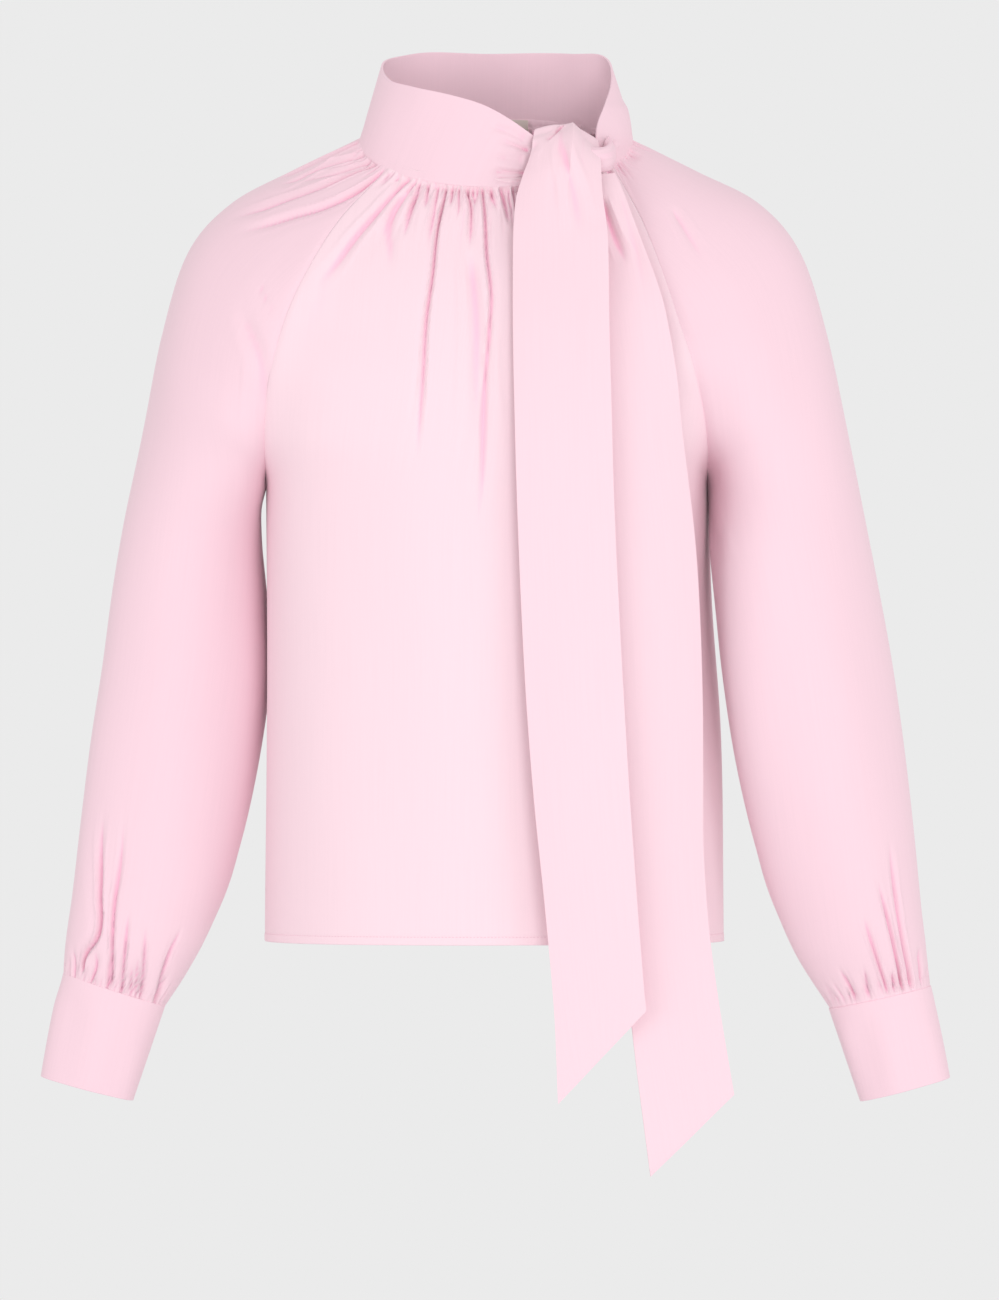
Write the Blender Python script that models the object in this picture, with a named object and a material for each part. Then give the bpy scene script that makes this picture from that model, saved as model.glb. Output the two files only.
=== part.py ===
"""Tie neck blouse in cotton poplin, filled out as if worn, with no wearer.

Frame: metres, +Z up, the front faces -Y. The origin is the middle of the neck, level with the
shoulder ends of the neckline seam. The wearer's right side is at -X. All tables are in millimetres.

Every panel is a sheet of rows. A row is a pair of cubic arcs that meet in the middle, so it is set
by its two ends, its middle and a handle at each. A station counts down the garment: 0 is the
neckline seam, 1 is the underarm, and 2 is the hem or the cuff seam.
"""

import math

import bmesh
import bpy
import numpy as np

MM = 0.001

# Walls, in millimetres
CLOTH = 1.5
BAND_WALL = 2.4
CUFF_WALL = 2.2
TIE_WALL = 1.6
LABEL_WALL = 1.0
SEAM_GAP = 0.3
BAND_LIFT = 0.45

# Columns across each panel, doubled where the cloth is gathered
FRONT_COLUMNS = 24
BACK_COLUMNS = 20
SLEEVE_COLUMNS = 20
CUFF_COLUMNS = 40
BAND_COLUMNS = 44
TIE_COLUMNS = 6
LABEL_COLUMNS = 4

# Rows down the plainer pieces
CUFF_ROWS = 3
BAND_ROWS = 4
FRONT_TAIL_ROWS = 28
BACK_TAIL_ROWS = 24
CROSSING_ROWS = 9

# Stations of the panels' rows, and how many rows at each end have double columns
RAGLAN_ROWS = (0, 0.03, 0.07, 0.12, 0.18, 0.27, 0.38, 0.5, 0.62, 0.74, 0.85, 0.93, 1)
BODY_ROWS = (1.1, 1.22, 1.36, 1.5, 1.66, 1.82, 2)
SLEEVE_ROWS = (1.05, 1.12, 1.2, 1.32, 1.45, 1.58, 1.7, 1.8, 1.88, 1.93, 1.97, 2)
NECK_GATHER_ROWS = 5
CUFF_GATHER_ROWS = 4

# The crossing's ring: its sides, and its pleats with their depth as a share of its reach
CROSSING_SIDES = 14
CROSSING_PLEATS = 7
CROSSING_PLEAT = 0.09

# Gathers: how far a ridge stands out, and the stations over which it rises and fades
NECK_GATHER = 1.9
NECK_GATHER_RISE = (0, 0.035)
NECK_GATHER_FADE = (0.05, 0.3)
CUFF_GATHER = 2.0
CUFF_GATHER_RISE = (1.84, 1.94)
CUFF_GATHER_FADE = (1.96, 2)
GATHER_UNEVEN = 0.25

# Steps in station and across the row over which a panel's normals are taken
NORMAL_STEP = 0.004
# Points of each panel's top row in the neckline ring
NECK_RING_POINTS = 81

CLOTH_ROUGHNESS = 0.85
POPLIN = (0.93, 0.72, 0.80, 1.0)
POPLIN_LIGHT = (0.97, 0.78, 0.85, 1.0)
POPLIN_DEEP = (0.90, 0.66, 0.76, 1.0)
LABEL_CLOTH = (0.66, 0.58, 0.55, 1.0)


def table(columns, *rows):
    """A table with named columns, one row for each section."""
    values = np.array(rows, float)
    return {name: values[:, i] for i, name in enumerate(columns.split())}


# Middle of the front and of the back: the row's depth, height and the reach of its handle
CENTRE = table(
    "at    front_y front_z front_reach back_y back_z back_reach",
    (0.00, -58, -40, 31, 57, 12, 27),
    (0.20, -74, -78, 45, 75, -27, 45),
    (0.40, -91, -115, 55, 89, -70, 55),
    (0.60, -103, -152, 65, 96, -118, 65),
    (0.80, -111, -200, 80, 100, -180, 80),
    (0.93, -114, -243, 95, 100, -236, 95),
    (1.00, -114, -266, 104, 99, -266, 104),
    (1.40, -112, -400, 106, 97, -400, 106),
    (2.00, -105, -602, 106, 98, -603, 106),
)

# Raglan seams from the neckline to the underarm: the point, the handle into the body panel and
# the handle into the sleeve
SEAM_COLUMNS = "at x y z body_x body_y body_z sleeve_x sleeve_y sleeve_z"
FRONT_SEAM = {
    "right": table(
        SEAM_COLUMNS,
        (0.00, -79, -37, -26, 19, -14, -9, -14, 10, 7),
        (0.20, -113, -56, -63, 38, -13, -6, -22, 8, 12),
        (0.40, -137, -69, -103, 48, -16, -3, -28, 5, 14),
        (0.60, -155, -73, -143, 54, -22, 0, -34, -3, 11),
        (0.80, -167, -66, -195, 40, -38, 0, -36, -18, 5),
        (0.93, -171.5, -38, -241, 14, -54, 0, -18, -58, 2),
        (1.00, -172, 8, -264, 0, -76, 0, 0, -100, 0),
    ),
    "left": table(
        SEAM_COLUMNS,
        (0.00, 87, -31, -23, -17, -16, -9, 9, 10, 7),
        (0.20, 107, -55, -62, -36, -14, -6, 24, 8, 12),
        (0.40, 122, -70, -103, -42, -17, -3, 32, 4, 14),
        (0.60, 135, -76, -143, -46, -22, 0, 38, -5, 11),
        (0.80, 149, -72, -190, -36, -34, 0, 38, -22, 5),
        (0.93, 158, -44, -240, -13, -50, 0, 18, -64, 2),
        (1.00, 160, 4, -264, 0, -73, 0, 0, -116, 0),
    ),
}
BACK_SEAM = {
    "right": table(
        SEAM_COLUMNS,
        (0.00, -72, 41, 7, 18, 11, 3, -18, -10, -3),
        (0.20, -105, 60, -30, 38, 12, 2, -26, -6, 10),
        (0.40, -133, 72, -75, 46, 14, 0, -32, -2, 14),
        (0.60, -153, 76, -120, 52, 18, 0, -36, 4, 11),
        (0.80, -167, 70, -180, 40, 30, 0, -38, 18, 6),
        (0.93, -172, 46, -234, 14, 44, 0, -20, 44, 2),
        (1.00, -172, 8, -264, 0, 62, 0, 0, 86, 0),
    ),
    "left": table(
        SEAM_COLUMNS,
        (0.00, 72, 41, 7, -18, 11, 3, 18, -10, -3),
        (0.20, 105, 60, -30, -38, 12, 2, 26, -6, 10),
        (0.40, 133, 72, -75, -46, 14, 0, 32, -2, 14),
        (0.60, 151, 76, -120, -52, 18, 0, 36, 4, 11),
        (0.80, 162, 70, -180, -38, 30, 0, 38, 16, 6),
        (0.93, 163, 44, -234, -14, 44, 0, 20, 44, 2),
        (1.00, 160, 4, -264, 0, 66, 0, 0, 80, 0),
    ),
}

# Side seams from the underarm to the hem
SIDE_SEAM = {
    "right": table(
        "at x y z front_y back_y",
        (1.00, -172, 8, -264, -76, 62),
        (1.40, -171, 8, -400, -75, 62),
        (2.00, -172, 8, -603, -72, 62),
    ),
    "left": table(
        "at x y z front_y back_y",
        (1.00, 160, 4, -264, -73, 66),
        (1.25, 163, 5, -350, -73, 64),
        (1.50, 169, 7, -434, -73, 63),
        (2.00, 171, 8, -603, -72, 62),
    ),
}

# The sleeve's outer line, seen from the front, with the handles round to its front and back
OUTER = {
    "right": table(
        "at x y z front_y front_z back_y back_z",
        (0.00, -101, 2, -1, -13, -8, 14, 3),
        (0.20, -152, 5, -25, -30, -8, 30, 2),
        (0.40, -198, 7, -50, -40, -8, 40, 0),
        (0.60, -230, 9, -87, -46, -6, 46, 0),
        (0.80, -249, 12, -150, -54, -3, 54, 0),
        (1.00, -263, 15, -228, -70, 0, 76, 0),
        (1.15, -275, 17, -284, -70, 0, 73, 0),
        (1.30, -285, 20, -338, -69, 0, 69, 0),
        (1.45, -294, 22, -396, -65, 0, 65, 0),
        (1.60, -304, 21, -455, -63, 0, 63, 0),
        (1.75, -312, 16, -518, -60, 0, 60, 0),
        (1.88, -318, 10, -572, -56, 0, 56, 0),
        (1.95, -322, 7, -603, -48, 0, 48, 0),
        (2.00, -324, 5, -629, -34, 0, 34, 0),
    ),
    "left": table(
        "at x y z front_y front_z back_y back_z",
        (0.00, 101, 2, -1, -13, -8, 14, 3),
        (0.20, 152, 3, -26, -30, -8, 30, 2),
        (0.40, 198, 2, -50, -40, -8, 40, 0),
        (0.60, 229, 0, -87, -48, -6, 46, 0),
        (0.80, 249, -4, -150, -56, -3, 54, 0),
        (1.00, 266, -10, -232, -70, 0, 76, 0),
        (1.15, 276, -15, -286, -70, 0, 74, 0),
        (1.30, 286, -19, -340, -67, 0, 67, 0),
        (1.45, 296, -20, -396, -65, 0, 65, 0),
        (1.60, 305, -18, -457, -63, 0, 63, 0),
        (1.75, 313, -14, -520, -60, 0, 60, 0),
        (1.88, 319, -9, -574, -56, 0, 56, 0),
        (1.95, 323, -6, -606, -48, 0, 48, 0),
        (2.00, 326, -5, -635, -34, 0, 34, 0),
    ),
}

# The sleeve's inner line below the underarm
INNER = {
    "right": table(
        "at x y z front_y back_y",
        (1.00, -172, 8, -264, -100, 86),
        (1.08, -176, 18, -280, -94, 76),
        (1.15, -176, 29, -300, -90, 68),
        (1.30, -172, 42, -350, -88, 58),
        (1.45, -170, 43, -404, -84, 55),
        (1.60, -178, 36, -466, -75, 54),
        (1.75, -192, 26, -530, -66, 54),
        (1.88, -208, 15, -580, -58, 52),
        (1.95, -226, 9, -618, -48, 46),
        (2.00, -248.5, 5, -653.5, -34, 34),
    ),
    "left": table(
        "at x y z front_y back_y",
        (1.00, 160, 4, -264, -116, 80),
        (1.08, 160, -16, -286, -98, 84),
        (1.15, 160, -32, -308, -84, 86),
        (1.30, 164, -48, -356, -68, 86),
        (1.45, 170, -52, -408, -60, 84),
        (1.60, 180, -47, -468, -56, 78),
        (1.75, 195, -33, -530, -53, 70),
        (1.88, 211, -20, -580, -50, 60),
        (1.95, 229, -11, -619, -46, 50),
        (2.00, 250, -5, -652, -34, 34),
    ),
}

# Lower ring of each cuff: its outer and inner ends, and its depth to the front and to the back
CUFF_END = {
    "right": {"outer": (-340.5, 5, -705), "inner": (-272, 5, -723), "reach": 31},
    "left": {"outer": (341, -5, -705), "inner": (274, -5, -723), "reach": 31},
}

# Top edge of the neckband by its turn round the neck, 0 in front and 90 at the wearer's right.
# Roll is how far the band swells out at half its height
BAND_TOP = table(
    "turn   x    y    z  roll",
    (-42, 41, -51, -10, 1),
    (-24, 24, -54, 3.5, 1),
    (-10, 10, -55, 13, 1),
    (4, -4, -54, 20, 1),
    (32, -32, -50, 27, 1),
    (57, -60, -39, 34, 1),
    (76, -79, -20, 41, 1),
    (89, -85, -2, 48, 1),
    (104, -83, 20, 55, 1),
    (123, -62, 40, 59, 1),
    (173, -6, 49, 62, 1),
    (233, 58, 43, 61, 1),
    (252, 82, 26, 60, 1),
    (266, 88, 6, 51, 2),
    (276, 87, -10, 36, 6),
    (285, 82, -25, 22, 9),
    (294, 77, -40, 5, 9),
    (302, 75, -48, -9, 5),
)
BAND_START = -42
BAND_END = 302

# Front tail from inside the neck over the band and down: its left and right edge, and how far its
# middle stands up and out
TAIL_COLUMNS = "left_x left_y left_z right_x right_y right_z up out"
FRONT_TAIL = table(
    TAIL_COLUMNS,
    (33, -44, -12, 68, -33, -16, 0, 0),
    (31, -47, -1, 72, -38, -6, 4, 0),
    (29, -55, 5, 77, -50, -1.5, 7, 0),
    (28, -62, 3, 78, -62, -5, 8, 2),
    (26, -68, -7, 78.5, -71, -13, 6, 4),
    (21, -73, -24, 79, -78, -28, 0, 5),
    (16, -77, -44, 80, -84, -46, 0, 4),
    (14, -83, -66, 82, -90, -66, 0, 3),
    (13.3, -90, -90, 83.5, -99, -90, 0, 2),
    (13.3, -110, -150, 84, -118, -150, 0, 2),
    (14.5, -121, -212, 85.5, -129, -212, 0, 2),
    (16.2, -125, -275, 87.2, -131, -275, 0, 1),
    (19, -125, -348, 90.5, -129, -348, 0, 1),
    (22.8, -125, -421, 94.5, -127, -421, 0, 2),
    (28.5, -124, -495, 99, -124, -495, 0, 3),
    (36, -122, -568, 104, -121, -566, 0, 3),
    (43.3, -118, -648, 108.5, -118, -624, 0, 2),
    (47.7, -116, -715.6, 110, -116, -654, 0, 1),
)

# Back tail from the crossing down
BACK_TAIL = table(
    TAIL_COLUMNS,
    (66, -66, -33.6, 89, -61, -31.6, 0, 1),
    (67, -72, -46, 95, -67, -45, 0, 2),
    (68, -79, -64, 102, -75, -65, 0, 1),
    (67, -87, -87, 110, -82, -87, 0, -2),
    (65, -97, -112, 119, -90, -112, 0, -3),
    (66, -106, -137, 126, -94, -137, 0, -2),
    (69, -116, -183, 134, -96, -183, 0, 1),
    (73, -119, -224, 138, -96, -224, 0, 3),
    (81, -119, -300, 147, -93, -300, 0, 3),
    (85.5, -117, -359, 151, -90, -359, 0, 3),
    (88, -115, -421, 153, -88, -421, 0, 3),
    (88.5, -112, -478, 153.5, -86, -476, 0, 3),
    (90, -109, -535, 154, -85, -532, 0, 3),
    (94, -106, -600, 158, -84, -590, 0, 2),
    (103, -104, -680, 165, -84, -645, 0, 1),
    (115.4, -102, -767, 175.6, -84, -709.4, 0, 0),
)

# The crossing behind the front tail: its middle line with half height and half depth
CROSSING = table(
    "x y z half_height half_depth",
    (86, -43, -12, 9, 3.2),
    (89, -49.5, -14, 10, 4.4),
    (86, -58, -18.5, 11, 4.8),
    (77, -62.5, -20.5, 11, 4.8),
    (66, -62.5, -21.5, 10, 4.6),
    (54, -61.5, -22, 8, 3.6),
)

# The long soft folds of the front: where each starts and ends across and down, its half width
# and how far it stands out
FRONT_FOLDS = table(
    "across_top across_end start end half_width height",
    (-0.44, -0.45, 0.02, 0.86, 0.10, 3.5),
    (-0.11, -0.10, 0.02, 1.10, 0.09, 3.5),
    (0.08, 0.10, 0.02, 0.70, 0.08, 4.0),
    (-0.72, -0.60, 0.02, 0.50, 0.10, 2.5),
    (0.55, 0.62, 0.02, 0.75, 0.12, 3.0),
)
BACK_FOLDS = table(
    "across_top across_end start end half_width height",
    (-0.52, -0.58, 0.02, 0.90, 0.11, 3.5),
    (-0.12, -0.16, 0.02, 1.15, 0.10, 4.0),
    (0.26, 0.22, 0.02, 0.95, 0.10, 3.5),
    (0.66, 0.72, 0.02, 0.70, 0.11, 3.0),
)
SLEEVE_FOLDS = table(
    "across_top across_end start end half_width height",
    (-0.55, -0.30, 0.02, 0.62, 0.16, 3.0),
    (0.05, 0.02, 0.02, 0.50, 0.16, 3.0),
    (0.60, 0.45, 0.02, 0.70, 0.16, 3.0),
    (-0.35, -0.42, 1.62, 1.98, 0.10, 4.0),
    (0.40, 0.36, 1.58, 1.98, 0.12, 4.0),
    (-0.75, -0.70, 1.70, 1.98, 0.10, 3.0),
)

# The label inside the back: its place across and down the panel, and how far it hangs inside
LABEL_HALF_WIDTH = 0.22
LABEL_CENTRE = 0.10
LABEL_STATIONS = (0.004, 0.05, 0.10)
LABEL_INSET = 4.0


def read(values, names, where):
    """The named columns of a table at a station, on a smooth curve through its rows."""
    at = values["at"] if "at" in values else values["turn"]
    points = np.stack([values[name] for name in names.split()], axis=-1)
    slope = np.gradient(points, at, axis=0)
    first = int(np.clip(np.searchsorted(at, where, side="right") - 1, 0, len(at) - 2))
    step = at[first + 1] - at[first]
    t = (where - at[first]) / step
    return (
        points[first] * (2 * t**3 - 3 * t**2 + 1)
        + points[first + 1] * (3 * t**2 - 2 * t**3)
        + slope[first] * step * (t**3 - 2 * t**2 + t)
        + slope[first + 1] * step * (t**3 - t**2)
    )


def arc(start, start_handle, end_handle, end, t):
    """Points of a cubic arc at each share t of its way."""
    t = t[:, None]
    return (
        start * (1 - t) ** 3
        + (start + start_handle) * 3 * t * (1 - t) ** 2
        + (end + end_handle) * 3 * t**2 * (1 - t)
        + end * t**3
    )


def two_arcs(ends, end_handles, middle, middle_handles, across):
    """A row of a panel: across runs from -1 at the first end through 0 in the middle to 1."""
    first = arc(middle, middle_handles[0], end_handles[0], ends[0], np.clip(-across, 0, 1))
    second = arc(middle, middle_handles[1], end_handles[1], ends[1], np.clip(across, 0, 1))
    return np.where(across[:, None] < 0, first, second)


def body_edge(face, side, station):
    """A body panel's edge point and the handle into the panel."""
    if station <= 1:
        seam = (FRONT_SEAM if face == "front" else BACK_SEAM)[side]
        return read(seam, "x y z", station), read(seam, "body_x body_y body_z", station)
    handle = read(SIDE_SEAM[side], face + "_y", station)
    return read(SIDE_SEAM[side], "x y z", station), np.array((0, handle[0], 0))


def body_row(face, station, across):
    """A row of the front or the back, from the wearer's right to the left."""
    y, z, reach = read(CENTRE, f"{face}_y {face}_z {face}_reach", station)
    right, right_handle = body_edge(face, "right", station)
    left, left_handle = body_edge(face, "left", station)
    handles = (np.array((-reach, 0, 0)), np.array((reach, 0, 0)))
    middle = np.array((0, y, z))
    return two_arcs((right, left), (right_handle, left_handle), middle, handles, across)


def sleeve_row(side, station, across):
    """A row of a sleeve, from its front seam over the outer line to its back seam."""
    outer = read(OUTER[side], "x y z", station)
    front_reach = read(OUTER[side], "front_y front_z", station)
    back_reach = read(OUTER[side], "back_y back_z", station)
    if station <= 1:
        front = read(FRONT_SEAM[side], "x y z", station)
        back = read(BACK_SEAM[side], "x y z", station)
        front_handle = read(FRONT_SEAM[side], "sleeve_x sleeve_y sleeve_z", station)
        back_handle = read(BACK_SEAM[side], "sleeve_x sleeve_y sleeve_z", station)
    else:
        front = back = read(INNER[side], "x y z", station)
        reach = read(INNER[side], "front_y back_y", station)
        front_handle = np.array((0, reach[0], 0))
        back_handle = np.array((0, reach[1], 0))
    handles = (np.array((0, *front_reach)), np.array((0, *back_reach)))
    return two_arcs((front, back), (front_handle, back_handle), outer, handles, across)


def outward_normals(row_at, station, across, sign):
    """Unit normals of a panel's row, by small steps down and across it."""
    low = max(station - NORMAL_STEP, 0 if station <= 1 else 1 + 1e-6)
    high = min(station + NORMAL_STEP, 1 if station <= 1 else 2)
    down = row_at(high, across) - row_at(low, across)
    before = row_at(station, np.clip(across - NORMAL_STEP, -1, 1))
    side = row_at(station, np.clip(across + NORMAL_STEP, -1, 1)) - before
    normal = np.cross(down, side) * sign
    return normal / np.linalg.norm(normal, axis=1)[:, None]


def ramp(value, low, high):
    """0 below low and 1 above high, with a smooth rise between."""
    t = np.clip((value - low) / (high - low), 0, 1)
    return t * t * (3 - 2 * t)


def fold_height(folds, station, across):
    """How far the long folds lift a row."""
    lift = np.zeros(len(across))
    for top, end, start, stop, half_width, height in zip(*folds.values()):
        along = (station - start) / (stop - start)
        if 0 < along < 1:
            share = np.clip(1 - np.abs(across - top - (end - top) * along) / half_width, 0, 1)
            lift += height * ramp(along, 0, 0.12) * ramp(1 - along, 0, 0.6) * ramp(share, 0, 1)
    return lift


def gather(columns, size):
    """A ridge and a valley by turns, uneven from one to the next, and flat at the panel's edges."""
    turn = np.arange(columns)
    uneven = 1 - GATHER_UNEVEN * (1 - np.sin(2.4 * turn + 1))
    wave = np.where(turn % 2 == 0, -1.0, 1.0) * uneven
    wave[0] = wave[-1] = 0
    return wave * size


def gather_size(station, cuff):
    """How far a ridge stands out at a station below the neckband or above the cuff."""
    if station <= 1:
        return NECK_GATHER * ramp(station, *NECK_GATHER_RISE) * (1 - ramp(station, *NECK_GATHER_FADE))
    if cuff:
        return CUFF_GATHER * ramp(station, *CUFF_GATHER_RISE) * (1 - ramp(station, *CUFF_GATHER_FADE))
    return 0


def make_sheet(row_at, stations, columns, fine_rows, folds, sign, cuff=False):
    """The outer points and the normals of a panel, row by row. Fine rows have double columns."""
    sheet = {"points": [], "normals": []}
    for index, station in enumerate(stations):
        across = np.linspace(-1, 1, columns * (2 if index in fine_rows else 1) + 1)
        normal = outward_normals(row_at, station, across, sign)
        lift = fold_height(folds, station, across) * (1 - np.abs(across) ** 8)
        lift += gather(len(across), gather_size(station, cuff))
        sheet["points"].append(row_at(station, across) + normal * lift[:, None])
        sheet["normals"].append(normal)
    return sheet


def unit(vectors):
    return vectors / np.linalg.norm(vectors, axis=-1)[..., None]


def join(first, first_column, second, second_column, rows, stations):
    """Gives two sheets one normal on their seam, and draws each back from it by half the gap.

    At the underarm the two sheets face each other, so the shared normal turns down there."""
    edge = np.array([first["points"][i][first_column] for i in rows])
    beside = np.array([first["points"][i][1 if first_column == 0 else -2] for i in rows])
    shared = np.array(
        [first["normals"][i][first_column] + second["normals"][i][second_column] for i in rows]
    )
    at = np.array([stations[i] for i in rows])
    shared = unit(shared + np.outer(ramp(at, 0.85, 1) * (at <= 1), (0, 0, -1)))
    across = unit(np.cross(shared, np.gradient(edge, axis=0)))
    side = np.sign(np.sum((beside - edge) * across, axis=1))
    neighbour = 1 if at[0] == 1 else -2
    across[at == 1] = across[neighbour]
    side[at == 1] = side[neighbour]
    shared[at == 1] = (0, 0, -1)
    pull = across * side[:, None] * SEAM_GAP / 2
    for i, normal, step in zip(rows, shared, pull):
        first["normals"][i][first_column] = normal
        second["normals"][i][second_column] = normal
        first.setdefault("pulls", []).append((i, first_column, step))
        second.setdefault("pulls", []).append((i, second_column, -step))


def pulled(sheet):
    """The sheet's rows with their seam edges drawn back."""
    for i, column, step in sheet.pop("pulls"):
        sheet["points"][i][column] += step
    return sheet


def wall(name, outer, inner, colour, ring_from=None):
    """One closed wall from its outer and inner rows. Rows from ring_from on are rings."""
    mesh = bmesh.new()
    layers = []
    for rows in (outer, inner):
        layer = []
        for index, row in enumerate(rows):
            ring = ring_from is not None and index >= ring_from
            made = [mesh.verts.new(point * MM) for point in (row[:-1] if ring else row)]
            layer.append(made + made[:1] if ring else made)
        layers.append(layer)
    for layer in layers:
        for upper, lower in zip(layer[:-1], layer[1:]):
            bridge(mesh, upper, lower)
    for upper, lower in ((layers[0][0], layers[1][0]), (layers[0][-1], layers[1][-1])):
        bridge(mesh, upper, lower)
    open_rows = len(outer) if ring_from is None else ring_from + 1
    for column in (0, -1):
        if open_rows > 1:
            outer_side, inner_side = ([row[column] for row in layer[:open_rows]] for layer in layers)
            for i in range(open_rows - 1):
                mesh.faces.new((outer_side[i], outer_side[i + 1], inner_side[i + 1]))
                mesh.faces.new((outer_side[i], inner_side[i + 1], inner_side[i]))
    return finish(name, mesh, colour)


def bridge(mesh, upper, lower):
    """Faces between two rows. A row with twice the columns meets its neighbour in fans of three."""
    if len(upper) == len(lower):
        for i in range(len(upper) - 1):
            mesh.faces.new((upper[i], upper[i + 1], lower[i + 1], lower[i]))
        return
    fine, coarse = (upper, lower) if len(upper) > len(lower) else (lower, upper)
    for i in range(len(coarse) - 1):
        mesh.faces.new((coarse[i], fine[2 * i], fine[2 * i + 1]))
        mesh.faces.new((coarse[i], fine[2 * i + 1], coarse[i + 1]))
        mesh.faces.new((coarse[i + 1], fine[2 * i + 1], fine[2 * i + 2]))


def finish(name, mesh, colour):
    """Makes the object, with its own material."""
    bmesh.ops.recalc_face_normals(mesh, faces=mesh.faces)
    data = bpy.data.meshes.new(name)
    mesh.to_mesh(data)
    mesh.free()
    data.shade_smooth()
    data.set_sharp_from_angle(angle=math.radians(50))
    piece = bpy.data.objects.new(name, data)
    bpy.context.collection.objects.link(piece)
    material = bpy.data.materials.new(name + "_cloth")
    material.use_nodes = True
    shader = material.node_tree.nodes["Principled BSDF"]
    shader.inputs["Base Color"].default_value = colour
    shader.inputs["Roughness"].default_value = CLOTH_ROUGHNESS
    shader.inputs["Metallic"].default_value = 0
    data.materials.append(material)
    return piece


def inside(points, sides, thickness):
    """The rows of a wall's inner face."""
    return [row - side * thickness for row, side in zip(points, sides)]


def grid_normals(rows, sign):
    """Unit normals of a plain grid of points."""
    grid = np.array(rows)
    return unit(np.cross(np.gradient(grid, axis=0), np.gradient(grid, axis=1))) * sign


def neck_ring(turn):
    """The neckline seam at a turn round the neck, 0 in front and 90 at the wearer's right."""
    across = np.linspace(-1, 1, NECK_RING_POINTS)
    seam = np.concatenate(
        [body_row(face, 0, across) for face in ("front", "back")]
        + [sleeve_row(side, 0, across) for side in ("right", "left")]
    )
    turns = np.degrees(np.arctan2(-seam[:, 0], -seam[:, 1])) % 360
    order = np.argsort(turns)
    return np.array([np.interp(turn % 360, turns[order], seam[order, i], period=360) for i in range(3)])


def make_panels():
    """The front, the back and both sleeves, each a wall of its own."""
    body_stations = RAGLAN_ROWS + BODY_ROWS
    sleeve_stations = RAGLAN_ROWS + SLEEVE_ROWS
    underarm = RAGLAN_ROWS.index(1)
    neck_rows = range(NECK_GATHER_ROWS)
    cuff_rows = range(len(sleeve_stations) - CUFF_GATHER_ROWS, len(sleeve_stations))

    def body(face, columns, folds, sign):
        def row_at(station, across):
            return body_row(face, station, across)

        return make_sheet(row_at, body_stations, columns, neck_rows, folds, sign)

    def sleeve(side, sign):
        def row_at(station, across):
            return sleeve_row(side, station, across)

        return make_sheet(row_at, sleeve_stations, SLEEVE_COLUMNS, cuff_rows, SLEEVE_FOLDS, sign, True)

    front = body("front", FRONT_COLUMNS, FRONT_FOLDS, 1)
    back = body("back", BACK_COLUMNS, BACK_FOLDS, -1)
    sleeves = {"right": sleeve("right", -1), "left": sleeve("left", 1)}

    raglan = range(underarm + 1)
    side_rows = range(underarm, len(body_stations))
    for side, column in (("right", 0), ("left", -1)):
        join(front, column, sleeves[side], 0, raglan, sleeve_stations)
        join(back, column, sleeves[side], -1, raglan, sleeve_stations)
    for column in (0, -1):
        join(front, column, back, column, side_rows, body_stations)

    for name, sheet in (("front", front), ("back", back)):
        pulled(sheet)
        inner = inside(sheet["points"], sheet["normals"], CLOTH)
        wall(name, sheet["points"], inner, POPLIN_LIGHT)
    for side, sheet in sleeves.items():
        pulled(sheet)
        for i in range(underarm, len(sleeve_stations)):
            sheet["points"][i][-1] = sheet["points"][i][0]
            sheet["normals"][i][-1] = sheet["normals"][i][0]
        inner = inside(sheet["points"], sheet["normals"], CLOTH)
        wall("sleeve_" + side, sheet["points"], inner, POPLIN, underarm)


def make_cuff(side, sign):
    """A plain straight cuff, a hair below the sleeve's last row."""
    across = np.linspace(-1, 1, CUFF_COLUMNS + 1)
    top = sleeve_row(side, 2, across)
    end = CUFF_END[side]
    outer, inner = (np.array(end[name], float) for name in ("outer", "inner"))
    reach = np.array((0, end["reach"], 0))
    bottom = two_arcs((inner, inner), (-reach, reach), outer, (-reach, reach), across)
    first = top + unit(bottom - top) * SEAM_GAP
    rows = [first + (bottom - first) * share for share in np.linspace(0, 1, CUFF_ROWS + 1)]
    sides = [unit(np.cross(bottom - top, np.gradient(row, axis=0))) * sign for row in rows]
    for row, side_normals in zip(rows, sides):
        row[-1] = row[0]
        side_normals[0] = side_normals[-1] = unit(side_normals[0] + side_normals[-1])
    wall("cuff_" + side, rows, inside(rows, sides, CUFF_WALL), POPLIN, 0)


def make_neckband():
    """The standing band, from one side of the crossing round the neck to the other."""
    turns = np.linspace(BAND_START, BAND_END, BAND_COLUMNS + 1)
    bottom = np.array([neck_ring(turn) for turn in turns]) + (0, 0, BAND_LIFT)
    top = np.array([read(BAND_TOP, "x y z", turn) for turn in turns])
    roll = np.array([read(BAND_TOP, "roll", turn) for turn in turns])
    level = np.column_stack((bottom[:, 0], bottom[:, 1], np.zeros(len(bottom))))
    rows = [
        bottom + (top - bottom) * share + unit(level) * roll * math.sin(math.pi * share)
        for share in np.linspace(0, 1, BAND_ROWS + 1)
    ]
    wall("neckband", rows, inside(rows, grid_normals(rows, 1), BAND_WALL), POPLIN)


def make_tail(name, sections, rows_down):
    """A tie tail: a strip from edge to edge of each section, with its middle pushed up and out."""
    sections = dict(sections, at=np.arange(len(sections["up"]), dtype=float))
    share = np.linspace(0, 1, TIE_COLUMNS + 1)[:, None]
    rows = []
    for where in np.linspace(0, len(sections["up"]) - 1, rows_down):
        left = read(sections, "left_x left_y left_z", where)
        right = read(sections, "right_x right_y right_z", where)
        up, out = read(sections, "up out", where)
        rows.append(left + (right - left) * share + np.array((0, -out, up)) * 4 * share * (1 - share))
    wall(name, rows, inside(rows, grid_normals(rows, 1), TIE_WALL), POPLIN_DEEP)


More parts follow.
